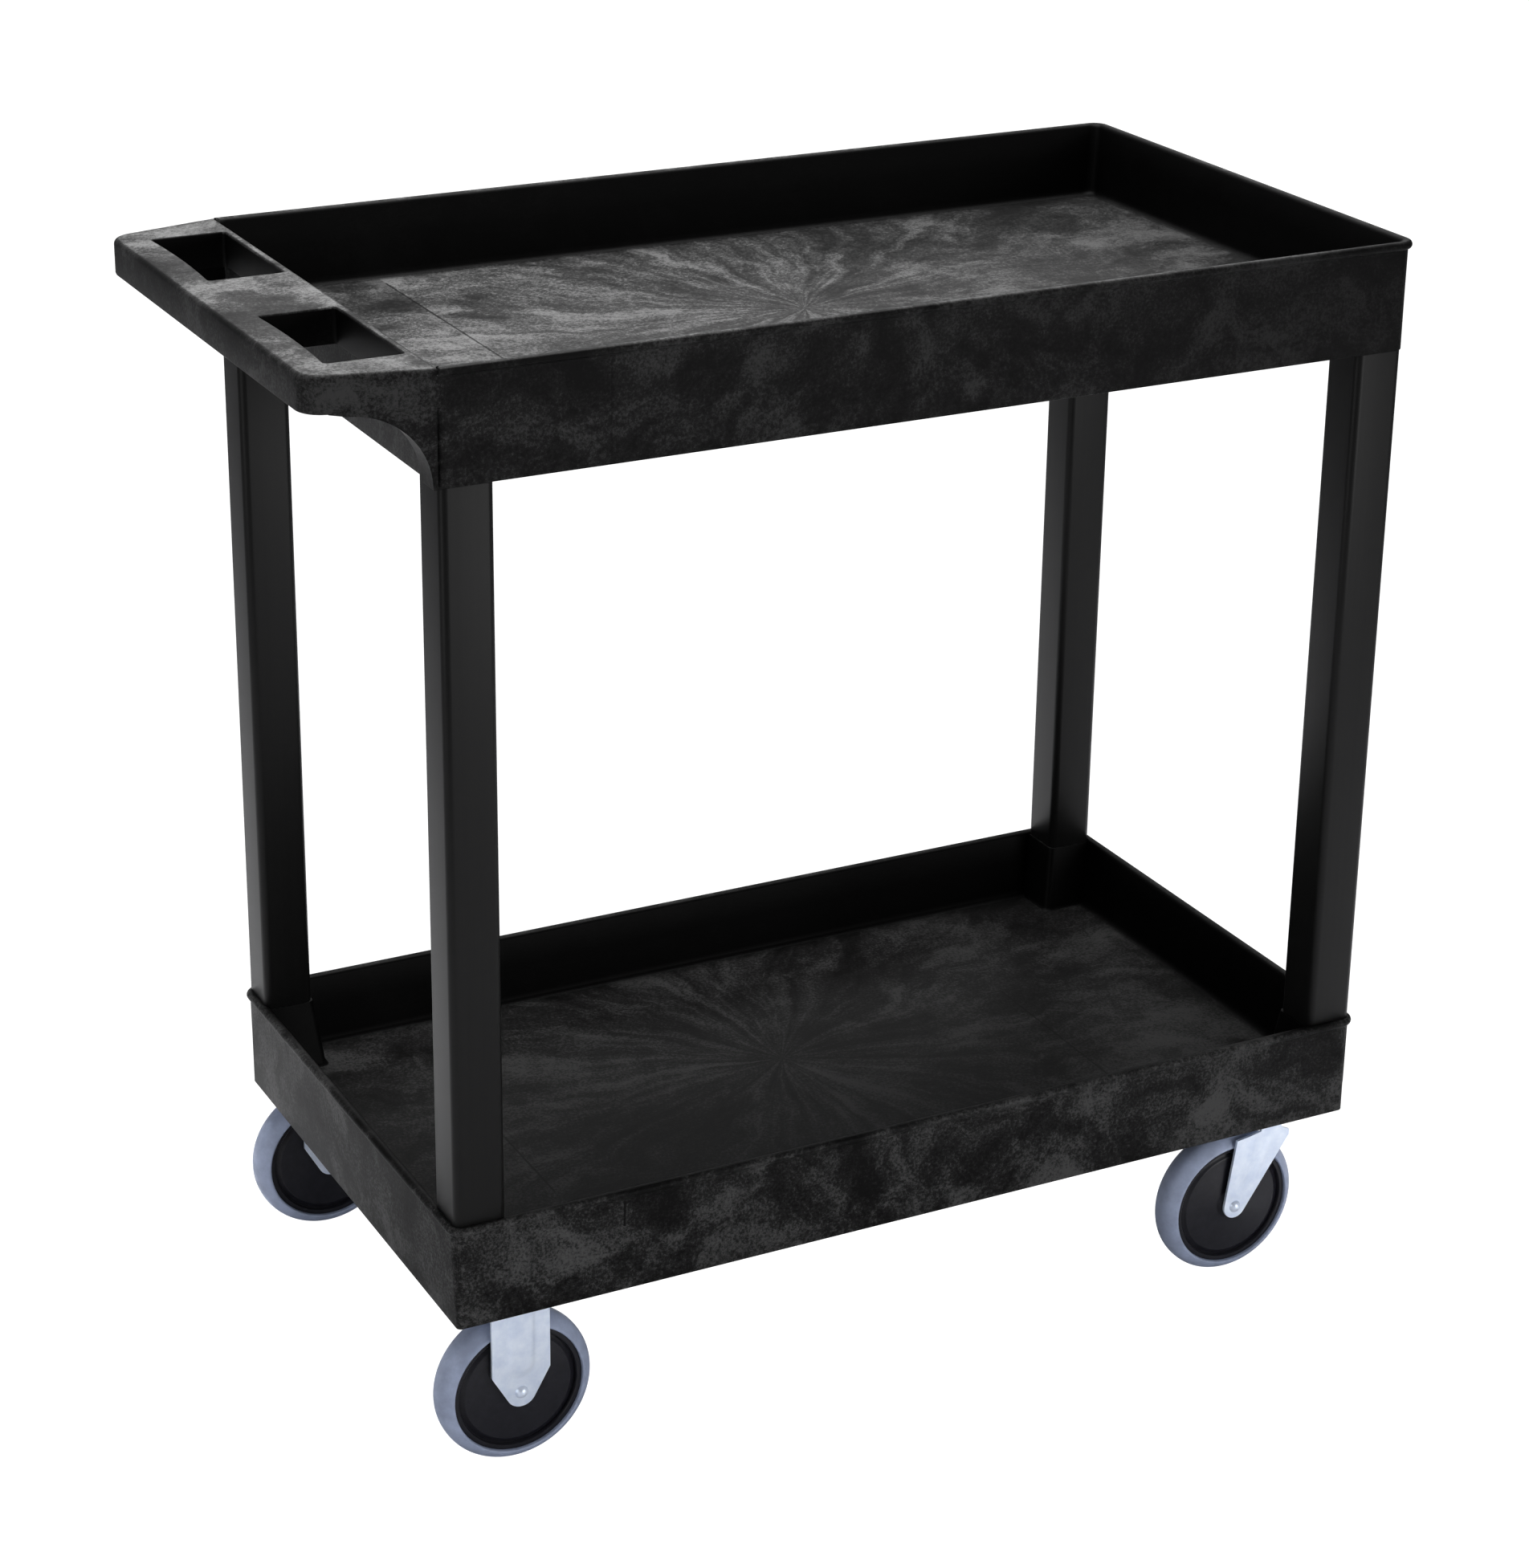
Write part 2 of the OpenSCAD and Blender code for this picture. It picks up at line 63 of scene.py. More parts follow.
def make_camera():
    """Long lens, at eye height in front of the hand hold end."""
    data = bpy.data.cameras.new("camera")
    data.sensor_fit = "VERTICAL"
    data.sensor_height = SENSOR_HEIGHT
    data.lens = LENS_LENGTH
    data.shift_x, data.shift_y = LENS_SHIFT
    data.clip_end = CAMERA_REACH
    camera = bpy.data.objects.new("camera", data)
    camera.location = CAMERA_PLACE
    camera.rotation_euler = Euler([math.radians(a) for a in CAMERA_TURN], "XYZ")
    bpy.context.scene.collection.objects.link(camera)
    bpy.context.scene.camera = camera


make_camera()


# ---------------------------------------------------------------- places

UPPER_LOW, UPPER_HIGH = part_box("upper_tub")
LOWER_LOW, LOWER_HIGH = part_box("lower_tub")
LEG_LOW, LEG_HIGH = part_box("leg_handle_front")

TUB_X0, TUB_X1 = LOWER_LOW.x, LOWER_HIGH.x
TUB_MID = (TUB_X0 + TUB_X1) / 2
HALF_WID = LOWER_HIGH.y
HANDLE_X = UPPER_LOW.x
UPPER_RIM = UPPER_HIGH.z
POST_BELOW_RIM = 2.5 * MM
LOWER_RIM = LEG_LOW.z + POST_BELOW_RIM
UPPER_FOOT = LEG_HIGH.z
WALL_HEIGHT = UPPER_RIM - UPPER_FOOT
TUB_DEPTH = 60 * MM
DECK_THICK = 4.5 * MM
LEG_MID_X = (LEG_LOW.x + LEG_HIGH.x) / 2
LEG_MID_Y = (LEG_LOW.y + LEG_HIGH.y) / 2
LEG_SIDE = LEG_HIGH.x - LEG_LOW.x
LEG_R = 6 * MM
LEG_X = [LEG_MID_X, 2 * TUB_MID - LEG_MID_X]
LEG_Y = [LEG_MID_Y, -LEG_MID_Y]


# ---------------------------------------------------------------- materials

def linear(hex_colour):
    """sRGB hex to a linear RGBA colour."""
    parts = [int(hex_colour[i:i + 2], 16) / 255 for i in (1, 3, 5)]
    return tuple(
        c / 12.92 if c <= 0.04045 else ((c + 0.055) / 1.055) ** 2.4 for c in parts
    ) + (1.0,)


def add(tree, kind, inputs=None, **settings):
    """Adds a node with its settings, and links or sets its inputs.

    An input that is given a node is linked to that node's first output.
    """
    made = tree.nodes.new(kind)
    for name, value in settings.items():
        setattr(made, name, value)
    for key, value in (inputs or {}).items():
        if isinstance(value, bpy.types.Node):
            value = value.outputs[0]
        socket = made.inputs[key]
        if isinstance(value, bpy.types.NodeSocket):
            tree.links.new(value, socket)
        else:
            socket.default_value = value
    return made


def start_material(name):
    """A new material with a Principled shader, and its node tree."""
    material = bpy.data.materials.new(name)
    material.use_nodes = True
    tree = material.node_tree
    tree.nodes.clear()
    shader = add(tree, "ShaderNodeBsdfPrincipled")
    add(tree, "ShaderNodeOutputMaterial", {"Surface": shader})
    return material, tree, shader


def set_inputs(shader, **values):
    """Sets a shader's constants. An underscore in a name stands for a space."""
    for name, value in values.items():
        shader.inputs[name.replace("_", " ")].default_value = value


def set_ramp(ramp, stops):
    """Gives a colour ramp its stops, as (position, linear colour)."""
    for position, colour in stops[1:-1]:
        ramp.color_ramp.elements.new(position).color = colour
    ends = sorted(ramp.color_ramp.elements, key=lambda e: e.position)
    for end, (position, colour) in ((ends[-1], stops[-1]), (ends[0], stops[0])):
        end.position, end.color = position, colour


def grey(value):
    return (value, value, value, 1.0)


def mark_shade(tree, place, marks):
    """One where there is no mark, less inside each mark's box.

    A mark is (middle, half size, share of the light that it takes away).
    """
    apart = add(tree, "ShaderNodeSeparateXYZ", {0: place})
    shade = None
    # some marks are dark parting lines and a darker patch of the skin; others are painted
    # shade
    for middle, half, loss in marks:
        inside = None
        for axis in range(3):
            near = add(tree, "ShaderNodeMath", {
                0: apart.outputs[axis], 1: middle[axis], 2: half[axis],
            }, operation="COMPARE")
            inside = near if inside is None else add(
                tree, "ShaderNodeMath", {0: inside, 1: near}, operation="MULTIPLY")
        kept = add(tree, "ShaderNodeMath", {0: inside, 1: -loss, 2: 1.0},
                   operation="MULTIPLY_ADD")
        shade = kept if shade is None else add(
            tree, "ShaderNodeMath", {0: shade, 1: kept}, operation="MULTIPLY")
    return shade


def painted_wall_shade(tree, place, inner, deck, outer):
    """Painted shade and light: how light the skin is on inner walls, flat faces and outer
    walls.

    These are matched tones, and not something the plastic does alone.
    """
    out = add(tree, "ShaderNodeVectorMath", {
        0: place, 1: (TUB_MID, 0.0, 0.0),
    }, operation="SUBTRACT")
    out = add(tree, "ShaderNodeVectorMath", {
        0: out, 1: (2 / (TUB_X1 - TUB_X0), 1 / HALF_WID, 0.0),
    }, operation="MULTIPLY")
    normal = add(tree, "ShaderNodeNewGeometry").outputs["True Normal"]
    facing = add(tree, "ShaderNodeVectorMath", {0: out, 1: normal}, operation="DOT_PRODUCT")
    gain = add(tree, "ShaderNodeValToRGB", {
        "Fac": add(tree, "ShaderNodeMath", {
            0: facing.outputs["Value"], 1: 0.5, 2: 0.5,
        }, operation="MULTIPLY_ADD"),
    })
    set_ramp(gain, [(0.25, grey(inner)), (0.5, grey(deck)), (0.75, grey(outer))])
    return gain


# How the foam's pattern is mixed: how far the swirl bends the streaks, how many
# broad streaks there are to a radian round the gate, how often they change in a
# metre of their length, and the share of each layer in the tone.
SWIRL_BEND = 0.5
STREAKS_ROUND = 7.0
STREAKS_ALONG = 4.0
STREAK_SHARE = 0.6
CLOUD_SHARE = 0.4
MOTTLE_SHARE = 0.5


def structural_foam(name, gate, tones, painted_shade_gains, fade, marks):
    """Structural-foam polyethylene, low-pressure moulded.

    The gas in the melt leaves silvery flow streaks that run out from the gate near
    the middle of the deck, on a dull skin with a fine mottle. Over that the colour
    carries painted shade and light, from the wall gains and the fall along the tub.
    """
    material, tree, shader = start_material(name)
    set_inputs(shader, Roughness=0.5, IOR=1.5, Specular_IOR_Level=0.05)
    place = add(tree, "ShaderNodeTexCoord").outputs["Object"]

    # slow swirl that bends the streaks, about 130 mm across
    swirl = add(tree, "ShaderNodeTexNoise", {
        "Vector": place, "Scale": 1 / 0.13, "Detail": 3.0, "Roughness": 0.55,
    })
    bend = add(tree, "ShaderNodeVectorMath", {
        0: swirl.outputs["Color"], 1: (0.5, 0.5, 0.5),
    }, operation="SUBTRACT")
    from_gate = add(tree, "ShaderNodeVectorMath", {0: place, 1: gate}, operation="SUBTRACT")
    reach = add(tree, "ShaderNodeVectorMath", {0: from_gate}, operation="LENGTH")
    bent = add(tree, "ShaderNodeVectorMath", {
        0: bend,
        1: add(tree, "ShaderNodeMath", {
            0: reach.outputs["Value"], 1: SWIRL_BEND,
        }, operation="MULTIPLY"),
        2: from_gate,
    }, operation="MULTIPLY_ADD")

    # direction from the gate, and distance along it at a slower rate
    away = add(tree, "ShaderNodeVectorMath", {0: bent}, operation="NORMALIZE")
    along = add(tree, "ShaderNodeCombineXYZ", {
        "Z": add(tree, "ShaderNodeMath", {
            0: reach.outputs["Value"], 1: STREAKS_ALONG,
        }, operation="MULTIPLY"),
    })
    streak_place = add(tree, "ShaderNodeVectorMath", {
        0: away, 1: (STREAKS_ROUND,) * 3, 2: along,
    }, operation="MULTIPLY_ADD")
    streaks = add(tree, "ShaderNodeTexNoise", {
        "Vector": streak_place, "Scale": 1.0, "Detail": 7.0, "Roughness": 0.66,
    })
    # cloudy patches, about 110 mm across
    clouds = add(tree, "ShaderNodeTexNoise", {
        "Vector": bent, "Scale": 1 / 0.11, "Detail": 6.0, "Roughness": 0.62,
        "Distortion": 0.6,
    })
    # mottle of the foam skin: 2.5 mm, with finer grain in it
    mottle = add(tree, "ShaderNodeTexNoise", {
        "Vector": place, "Scale": 1 / 0.0025, "Detail": 3.0, "Roughness": 0.8,
    })
    flow = add(tree, "ShaderNodeMath", {
        0: streaks,
        1: STREAK_SHARE,
        2: add(tree, "ShaderNodeMath", {0: clouds, 1: CLOUD_SHARE}, operation="MULTIPLY"),
    }, operation="MULTIPLY_ADD")
    grain = add(tree, "ShaderNodeMath", {
        0: mottle, 1: MOTTLE_SHARE, 2: -MOTTLE_SHARE / 2,
    }, operation="MULTIPLY_ADD")
    colour = add(tree, "ShaderNodeValToRGB", {
        "Fac": add(tree, "ShaderNodeMath", {0: flow, 1: grain}, operation="ADD"),
    })
    dark, mid, pale = [linear(tone) for tone in tones]
    set_ramp(colour, [(0.4, dark), (0.5, mid), (0.62, pale)])
    # painted shade and light: inner walls painted near black as shade, flat faces and outer
    # walls toned as the light falls on them
    lit = add(tree, "ShaderNodeVectorMath", {
        0: colour, 1: painted_wall_shade(tree, place, *painted_shade_gains),
    }, operation="MULTIPLY")
    # painted light, matched: the skin is painted lighter at the hand hold end than at the far
    # end
    fall = add(tree, "ShaderNodeMapRange", {
        "Value": add(tree, "ShaderNodeSeparateXYZ", {0: place}),
        "From Min": TUB_X0, "From Max": TUB_X1, "To Min": fade[0], "To Max": fade[1],
    })
    lit = add(tree, "ShaderNodeVectorMath", {
        0: lit,
        "Scale": add(tree, "ShaderNodeMath", {
            0: mark_shade(tree, place, marks), 1: fall,
        }, operation="MULTIPLY"),
    }, operation="SCALE")
    tree.links.new(lit.outputs["Vector"], shader.inputs["Base Color"])

    height = add(tree, "ShaderNodeBump", {
        "Height": mottle, "Strength": 0.3, "Distance": 0.15 * MM,
    })
    tree.links.new(height.outputs["Normal"], shader.inputs["Normal"])
    return material


def extruded_leg_plastic():
    """Extruded PVC leg tube: an even satin skin with faint draw lines along it."""
    material, tree, shader = start_material("extruded_pvc_leg")
    set_inputs(shader, Roughness=0.42, IOR=1.53, Specular_IOR_Level=0.12)
    place = add(tree, "ShaderNodeTexCoord").outputs["Object"]
    # draw lines, 3 mm apart and 400 mm long, over a 1.5 mm grit
    stretched = add(tree, "ShaderNodeVectorMath", {
        0: place, 1: (1 / 0.003, 1 / 0.003, 1 / 0.4),
    }, operation="MULTIPLY")
    lines = add(tree, "ShaderNodeTexNoise", {"Vector": stretched, "Scale": 1.0, "Detail": 2.0})
    grit = add(tree, "ShaderNodeTexNoise", {
        "Vector": place, "Scale": 1 / 0.0015, "Detail": 2.0,
    })
    colour = add(tree, "ShaderNodeValToRGB", {
        "Fac": add(tree, "ShaderNodeMix", {0: 0.5, 2: lines, 3: grit}),
    })
    set_ramp(colour, [(0.3, linear("#0d0d0d")), (0.7, linear("#121212"))])
    tree.links.new(colour.outputs["Color"], shader.inputs["Base Color"])
    height = add(tree, "ShaderNodeBump", {
        "Height": lines, "Strength": 0.1, "Distance": 0.05 * MM,
    })
    tree.links.new(height.outputs["Normal"], shader.inputs["Normal"])
    return material


def zinc_plated_steel():
    """Pressed steel sheet, bright zinc plated: cool white metal, softly clouded.

    It is only part metallic, as matched.
    """
    material, tree, shader = start_material("bright_zinc_plated_steel")
    set_inputs(shader, Metallic=0.45)
    place = add(tree, "ShaderNodeTexCoord").outputs["Object"]
    # clouding of the plating, about 12 mm across
    clouds = add(tree, "ShaderNodeTexNoise", {
        "Vector": place, "Scale": 1 / 0.012, "Detail": 4.0, "Roughness": 0.6,
    })
    colour = add(tree, "ShaderNodeValToRGB", {"Fac": clouds})
    set_ramp(colour, [(0.35, linear("#d3dff4")), (0.7, linear("#e8f1ff"))])
    tree.links.new(colour.outputs["Color"], shader.inputs["Base Color"])
    rough = add(tree, "ShaderNodeMapRange", {
        "Value": clouds, "From Min": 0.3, "From Max": 0.7, "To Min": 0.3, "To Max": 0.42,
    })
    tree.links.new(rough.outputs["Result"], shader.inputs["Roughness"])
    return material


def ball_steel():
    """Hardened bearing balls: polished, with a trace of grease."""
    material, tree, shader = start_material("polished_ball_steel")
    set_inputs(shader, Metallic=1.0, Roughness=0.15)
    place = add(tree, "ShaderNodeTexCoord").outputs["Object"]
    # grease, in patches of about 4 mm
    grease = add(tree, "ShaderNodeTexNoise", {"Vector": place, "Scale": 1 / 0.004})
    colour = add(tree, "ShaderNodeValToRGB", {"Fac": grease})
    set_ramp(colour, [(0.0, linear("#a8a294")), (1.0, linear("#dcdcdc"))])
    tree.links.new(colour.outputs["Color"], shader.inputs["Base Color"])
    return material


def core_polypropylene():
    """Injection-moulded polypropylene wheel core: near black, a slight sheen."""
    material, tree, shader = start_material("moulded_polypropylene_core")
    set_inputs(shader, Roughness=0.38, IOR=1.49, Specular_IOR_Level=0.25)
    place = add(tree, "ShaderNodeTexCoord").outputs["Object"]
    # dust and handling marks, about 6 mm across
    dust = add(tree, "ShaderNodeTexNoise", {
        "Vector": place, "Scale": 1 / 0.006, "Detail": 5.0, "Roughness": 0.7,
    })
    colour = add(tree, "ShaderNodeValToRGB", {"Fac": dust})
    set_ramp(colour, [(0.35, linear("#15151b")), (0.75, linear("#1f1f26"))])
    tree.links.new(colour.outputs["Color"], shader.inputs["Base Color"])
    height = add(tree, "ShaderNodeBump", {
        "Height": dust, "Strength": 0.08, "Distance": 0.05 * MM,
    })
    tree.links.new(height.outputs["Normal"], shader.inputs["Normal"])
    return material


def grey_tpr_tread():
    """Thermoplastic rubber tread, moulded on the core: smooth, bluish grey, dull."""
    material, tree, shader = start_material("grey_thermoplastic_rubber")
    set_inputs(shader, Roughness=0.5, IOR=1.5, Specular_IOR_Level=0.35)
    place = add(tree, "ShaderNodeTexCoord").outputs["Object"]
    # bloom on the rubber, about 20 mm across
    bloom = add(tree, "ShaderNodeTexNoise", {
        "Vector": place, "Scale": 1 / 0.02, "Detail": 5.0, "Roughness": 0.65,
    })
    colour = add(tree, "ShaderNodeValToRGB", {"Fac": bloom})
    set_ramp(colour, [(0.35, linear("#8a94ac")), (0.7, linear("#a2adc8"))])
    tree.links.new(colour.outputs["Color"], shader.inputs["Base Color"])
    # fine grain of the rubber, 1.2 mm
    fine = add(tree, "ShaderNodeTexNoise", {
        "Vector": place, "Scale": 1 / 0.0012, "Detail": 2.0,
    })
    height = add(tree, "ShaderNodeBump", {
        "Height": fine, "Strength": 0.1, "Distance": 0.05 * MM,
    })
    tree.links.new(height.outputs["Normal"], shader.inputs["Normal"])
    return material


UPPER_DECK = UPPER_RIM - TUB_DEPTH
LOWER_DECK = LOWER_RIM - TUB_DEPTH
LINE = 0.9 * MM
# Parting lines of the mould's inserts and the patch that two of them frame, as
# (middle, half size, loss). The last two of the upper tub are painted shade
# inside the hand openings, with a matched loss.
UPPER_MARKS_AND_PAINTED_SHADE = [
    ((TUB_X0 + 134 * MM, 80 * MM, UPPER_DECK), (LINE, 117 * MM, 3 * MM), 0.75),
    ((TUB_X0 + 107 * MM, 106 * MM, UPPER_DECK), (27 * MM, LINE, 3 * MM), 0.5),
    ((TUB_X0 + 77 * MM, 158 * MM, UPPER_DECK), (57 * MM, 52 * MM, 3 * MM), 0.4),
    ((TUB_X0 + 134 * MM, -HALF_WID, UPPER_RIM - 45 * MM), (LINE, 6 * MM, 36 * MM), 0.4),
    # painted shade inside the two hand openings
    ((TUB_X0 - 31 * MM, 117 * MM, UPPER_RIM - 17 * MM), (33 * MM, 69 * MM, 15 * MM), 0.96),
    ((TUB_X0 - 31 * MM, -117 * MM, UPPER_RIM - 17 * MM), (33 * MM, 69 * MM, 15 * MM), 0.96),
]
LOWER_MARKS = [
    ((TUB_X0 + 137 * MM, -54 * MM, LOWER_DECK), (LINE, 54 * MM, 3 * MM), 0.75),
    ((TUB_X0 + 636 * MM, -50 * MM, LOWER_DECK), (LINE, 99 * MM, 3 * MM), 0.75),
    ((TUB_X0 + 142 * MM, -HALF_WID, LOWER_RIM - 21 * MM), (LINE, 6 * MM, 10 * MM), 0.8),
]
# painted shade and light in each tub's gains and fall: inner walls near black as shade, the
# lower deck painted darker as if in the upper tub's shadow, and the skin painted lighter
# towards the hand hold end
UPPER_FOAM = structural_foam(
    "structural_foam_polyethylene_upper", (0.036, -0.008, UPPER_DECK),
    ("#121212", "#262626", "#4e4e4e"), (0.015, 1.1, 0.3), (1.55, 0.42), UPPER_MARKS_AND_PAINTED_SHADE,
)
LOWER_FOAM = structural_foam(
    "structural_foam_polyethylene_lower", (0.040, 0.018, LOWER_DECK),
    ("#0c0c0c", "#242424", "#505050"), (0.015, 0.34, 0.64), (1.2, 0.85), LOWER_MARKS,
)
LEG_PLASTIC = extruded_leg_plastic()
ZINC = zinc_plated_steel()
BALL_STEEL = ball_steel()
CORE_PLASTIC = core_polypropylene()
TREAD = grey_tpr_tread()


# ---------------------------------------------------------------- mesh tools

def arc(centre, radius, start, end, steps):
    """Points on an arc, angles in degrees."""
    points = []
    for i in range(steps + 1):
        angle = math.radians(start + (end - start) * i / steps)
        points.append((
            centre[0] + radius * math.cos(angle), centre[1] + radius * math.sin(angle),
        ))
    return points


def add_loop(bm, points, z):
    """A ring of vertices at one height, from (x, y) points or (x, y, z) points."""
    return [bm.verts.new((p[0], p[1], p[2] if len(p) > 2 else z)) for p in points]


def join_loops(bm, low, high):
    """Quads between two rings of the same length."""
    count = len(low)
    for i in range(count):
        j = (i + 1) % count
        bm.faces.new((low[i], low[j], high[j], high[i]))


def loft(bm, rings):
    """Joins each ring to the next."""
    for low, high in zip(rings, rings[1:]):
        join_loops(bm, low, high)


def cap_with_holes(bm, outer, holes):
    """Flat triangles between an outer ring and the rings of its holes."""
    rings = [outer] + holes
    corners = [v for ring in rings for v in ring]
    for tri in tessellate_polygon([[v.co for v in ring] for ring in rings]):
        bm.faces.new([corners[i] for i in tri])


def round_rect(mid, half_x, half_y, radii, steps=7):
    """A rounded rectangle's points, anticlockwise from the far front corner.

    radii are the corner radii at the far end and at the hand hold end.
    """
    far, near = radii
    points = []
    for sx, sy, radius, start in (
        (1, -1, far, 270), (1, 1, far, 0), (-1, 1, near, 90), (-1, -1, near, 180),
    ):
        centre = (mid[0] + sx * (half_x - radius), mid[1] + sy * (half_y - radius))
        points += arc(centre, radius, start, start + 90, steps)
    return points


def box_piece(bm, low, high, edge=0.4 * MM):
    """A rib or block: four sides, with narrow bevels at the top and foot."""
    rings = []
    for z, inset in ((low[2], edge), (low[2] + edge, 0), (high[2] - edge, 0), (high[2], edge)):
        x0, x1, y0, y1 = low[0] + inset, high[0] - inset, low[1] + inset, high[1] - inset
        rings.append(add_loop(bm, [(x0, y0), (x1, y0), (x1, y1), (x0, y1)], z))
    loft(bm, rings)
    bm.faces.new(rings[0])
    bm.faces.new(rings[-1])


def finish_piece(bm, name, material, body, replaced, smooth_angle=35):
    """Turns a bmesh into a piece that rides on a body and stands for CAD nodes."""
    bmesh.ops.recalc_face_normals(bm, faces=bm.faces[:])
    mesh = bpy.data.meshes.new(name)
    bm.to_mesh(mesh)
    bm.free()
    piece = bpy.data.objects.new(name, mesh)
    bpy.context.scene.collection.objects.link(piece)
    mesh.materials.append(material)
    mesh.shade_smooth()
    mesh.set_sharp_from_angle(angle=math.radians(smooth_angle))
    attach(piece, body)
    if replaced:
        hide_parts(*replaced)
    return piece


# ---------------------------------------------------------------- tubs

BEAD_R = 3.4 * MM
CORNER_R = 14 * MM
WALL_INSET = 3.0 * MM
FOOT_INSET = 4.9 * MM
END_LIP = 3.0 * MM


def tub_outside():
    """The outer section, from the deck's underside round the foot to the rim.

    Each is (distance inside the rim, height above the rim, corner radius).
    """
    foot = -WALL_HEIGHT
    stations = [
        (FOOT_INSET + 3.2 * MM, -TUB_DEPTH - DECK_THICK, 3.0 * MM),
        (FOOT_INSET + 3.0 * MM, foot + 1.2 * MM, 3.0 * MM),
        (FOOT_INSET + 2.4 * MM, foot + 0.2 * MM, 3.2 * MM),
        (FOOT_INSET + 1.7 * MM, foot, 3.4 * MM),
        (FOOT_INSET + 1.0 * MM, foot, 3.7 * MM),
        (FOOT_INSET + 0.3 * MM, foot + 0.3 * MM, 3.9 * MM),
        (FOOT_INSET, foot + 1.0 * MM, 4.0 * MM),
        (WALL_INSET + 0.9 * MM, -40 * MM, 8.0 * MM),
    ]
    join = math.degrees(math.acos(1 - WALL_INSET / BEAD_R))
    for x, z in arc((BEAD_R, -BEAD_R), BEAD_R, 180 + join, 90, 12):
        stations.append((x, z, CORNER_R - x))
    return stations


def tub_inside():
    """The inner section, over the lip and down the sloping wall to the deck."""
    stations = [
        (5.2 * MM, -0.15 * MM, 8.6 * MM), (6.7 * MM, -0.6 * MM, 7.6 * MM),
        (7.8 * MM, -1.5 * MM, 7.0 * MM), (8.5 * MM, -3.2 * MM, 7.0 * MM),
        (11.5 * MM, -26 * MM, 8.0 * MM), (14.9 * MM, -53 * MM, 9.0 * MM),
    ]
    for x, z in arc((21 * MM, -54 * MM), 6 * MM, 195, 270, 5):
        stations.append((x, z, 9.2 * MM))
    return stations


def tuck_under_hold(point, height, outside):
    """Shapes the end wall under the hand hold, where there is no rolled edge."""
    x, y = point
    z = height
    if outside:
        if x < TUB_X0 + 4.2 * MM and height > -11 * MM:
            x = max(x, TUB_X0 + WALL_INSET + 0.2 * MM)
            z = min(z, -4.6 * MM)
    elif x < TUB_MID:
        x -= END_LIP * max(0.0, min(1.0, (height + 53 * MM) / (54 * MM)))
        if height > -4 * MM and x < TUB_X0 + 6.4 * MM:
            x = TUB_X0 + 5.7 * MM
            z = -4.6 * MM
    return (x, y, z)


def add_tub(bm, rim, with_hold):
    """Walls, rim, deck and underside as one closed skin."""
    rings = []
    sections = [(s, True) for s in tub_outside()] + [(s, False) for s in tub_inside()]
    for (inset, height, radius), outside in sections:
        near = min(radius, 4 * MM) if with_hold and outside else radius
        points = round_rect(
            (TUB_MID, 0), (TUB_X1 - TUB_X0) / 2 - inset, HALF_WID - inset, (radius, near),
        )
        if with_hold:
            points = [tuck_under_hold(p, height, outside) for p in points]
        else:
            points = [(x, y, height) for x, y in points]
        rings.append(add_loop(bm, [(x, y, rim + z) for x, y, z in points], 0))
    loft(bm, rings)
    bm.faces.new(rings[0])
    bm.faces.new(rings[-1])


RIB_DEPTH = 14.5 * MM
RIB_HALF = 1.5 * MM
CROSS_RIBS = (137, 272, 407, 541, 637)
LONG_RIB_Y = 76 * MM


def add_ribs(bm, rim):
    """Stiffening ribs under a deck, across it and along it."""
    top = rim - TUB_DEPTH - DECK_THICK + 0.5 * MM
    bottom = top - RIB_DEPTH
    room_y = HALF_WID - FOOT_INSET - 1 * MM
    for inset in CROSS_RIBS:
        x = TUB_X0 + inset * MM
        box_piece(bm, (x - RIB_HALF, -room_y, bottom), (x + RIB_HALF, room_y, top))
    for y in (-LONG_RIB_Y, LONG_RIB_Y):
        box_piece(
            bm, (TUB_X0 + FOOT_INSET + 1 * MM, y - RIB_HALF, bottom - 0.05 * MM),
            (TUB_X1 - FOOT_INSET - 1 * MM, y + RIB_HALF, top),
        )


# Plan of the hand hold: the sides run in towards round outer corners.
HOLD_END = TUB_X0 + 5.9 * MM
HOLD_SIDE = HALF_WID - 1.2 * MM
HOLD_CORNER_R = 20 * MM
HOLD_CORNER = (HANDLE_X + HOLD_CORNER_R, HALF_WID - 37 * MM)
HOLD_DEPTH = 28 * MM
HOLD_RUN = HOLD_END - HOLD_CORNER[0]
HOLD_RISE = HOLD_SIDE - HOLD_CORNER[1]
TAPER = (math.atan2(HOLD_RISE, HOLD_RUN)
         - math.asin(HOLD_CORNER_R / math.hypot(HOLD_RUN, HOLD_RISE)))


def hold_outline(inset):
    """The hand hold's plan, a distance inside its edge, anticlockwise."""
    side = HOLD_SIDE - (inset / math.cos(TAPER)) + inset * math.tan(TAPER)
    turn = 90 + math.degrees(TAPER)
    back = arc(HOLD_CORNER, HOLD_CORNER_R - inset, turn, 180, 9)
    back = [(HOLD_END - inset, side)] + back
    return back + [(x, -y) for x, y in reversed(back)]


def hand_opening(side, grow):
    """Plan of one hand opening. The grip swells a little along its length."""
    x0 = TUB_X0 - 60 * MM - grow
    x1 = TUB_X0 - 2 * MM + grow
    y0 = 52 * MM - grow
    y1 = 183 * MM + grow
    r = 3 * MM + grow
    swell = 2.2 * MM
    points = (
        arc((x1 - r, y0 + r), r, 270, 360, 4) + arc((x1 - r, y1 - r), r, 0, 90, 4)
        + arc((x0 + r, y1 - r), r, 90, 180, 4)
    )
    middle = (y0 + y1) / 2
    reach = (y1 - y0) / 2 - r
    for i in range(1, 12):
        y = y1 - r - 2 * reach * i / 12
        points.append((x0 + swell * (1 - ((y - middle) / reach) ** 2), y))
    points += arc((x0 + r, y0 + r), r, 180, 270, 4)
    if side < 0:
        return [(x, -y) for x, y in reversed(points)]
    return points


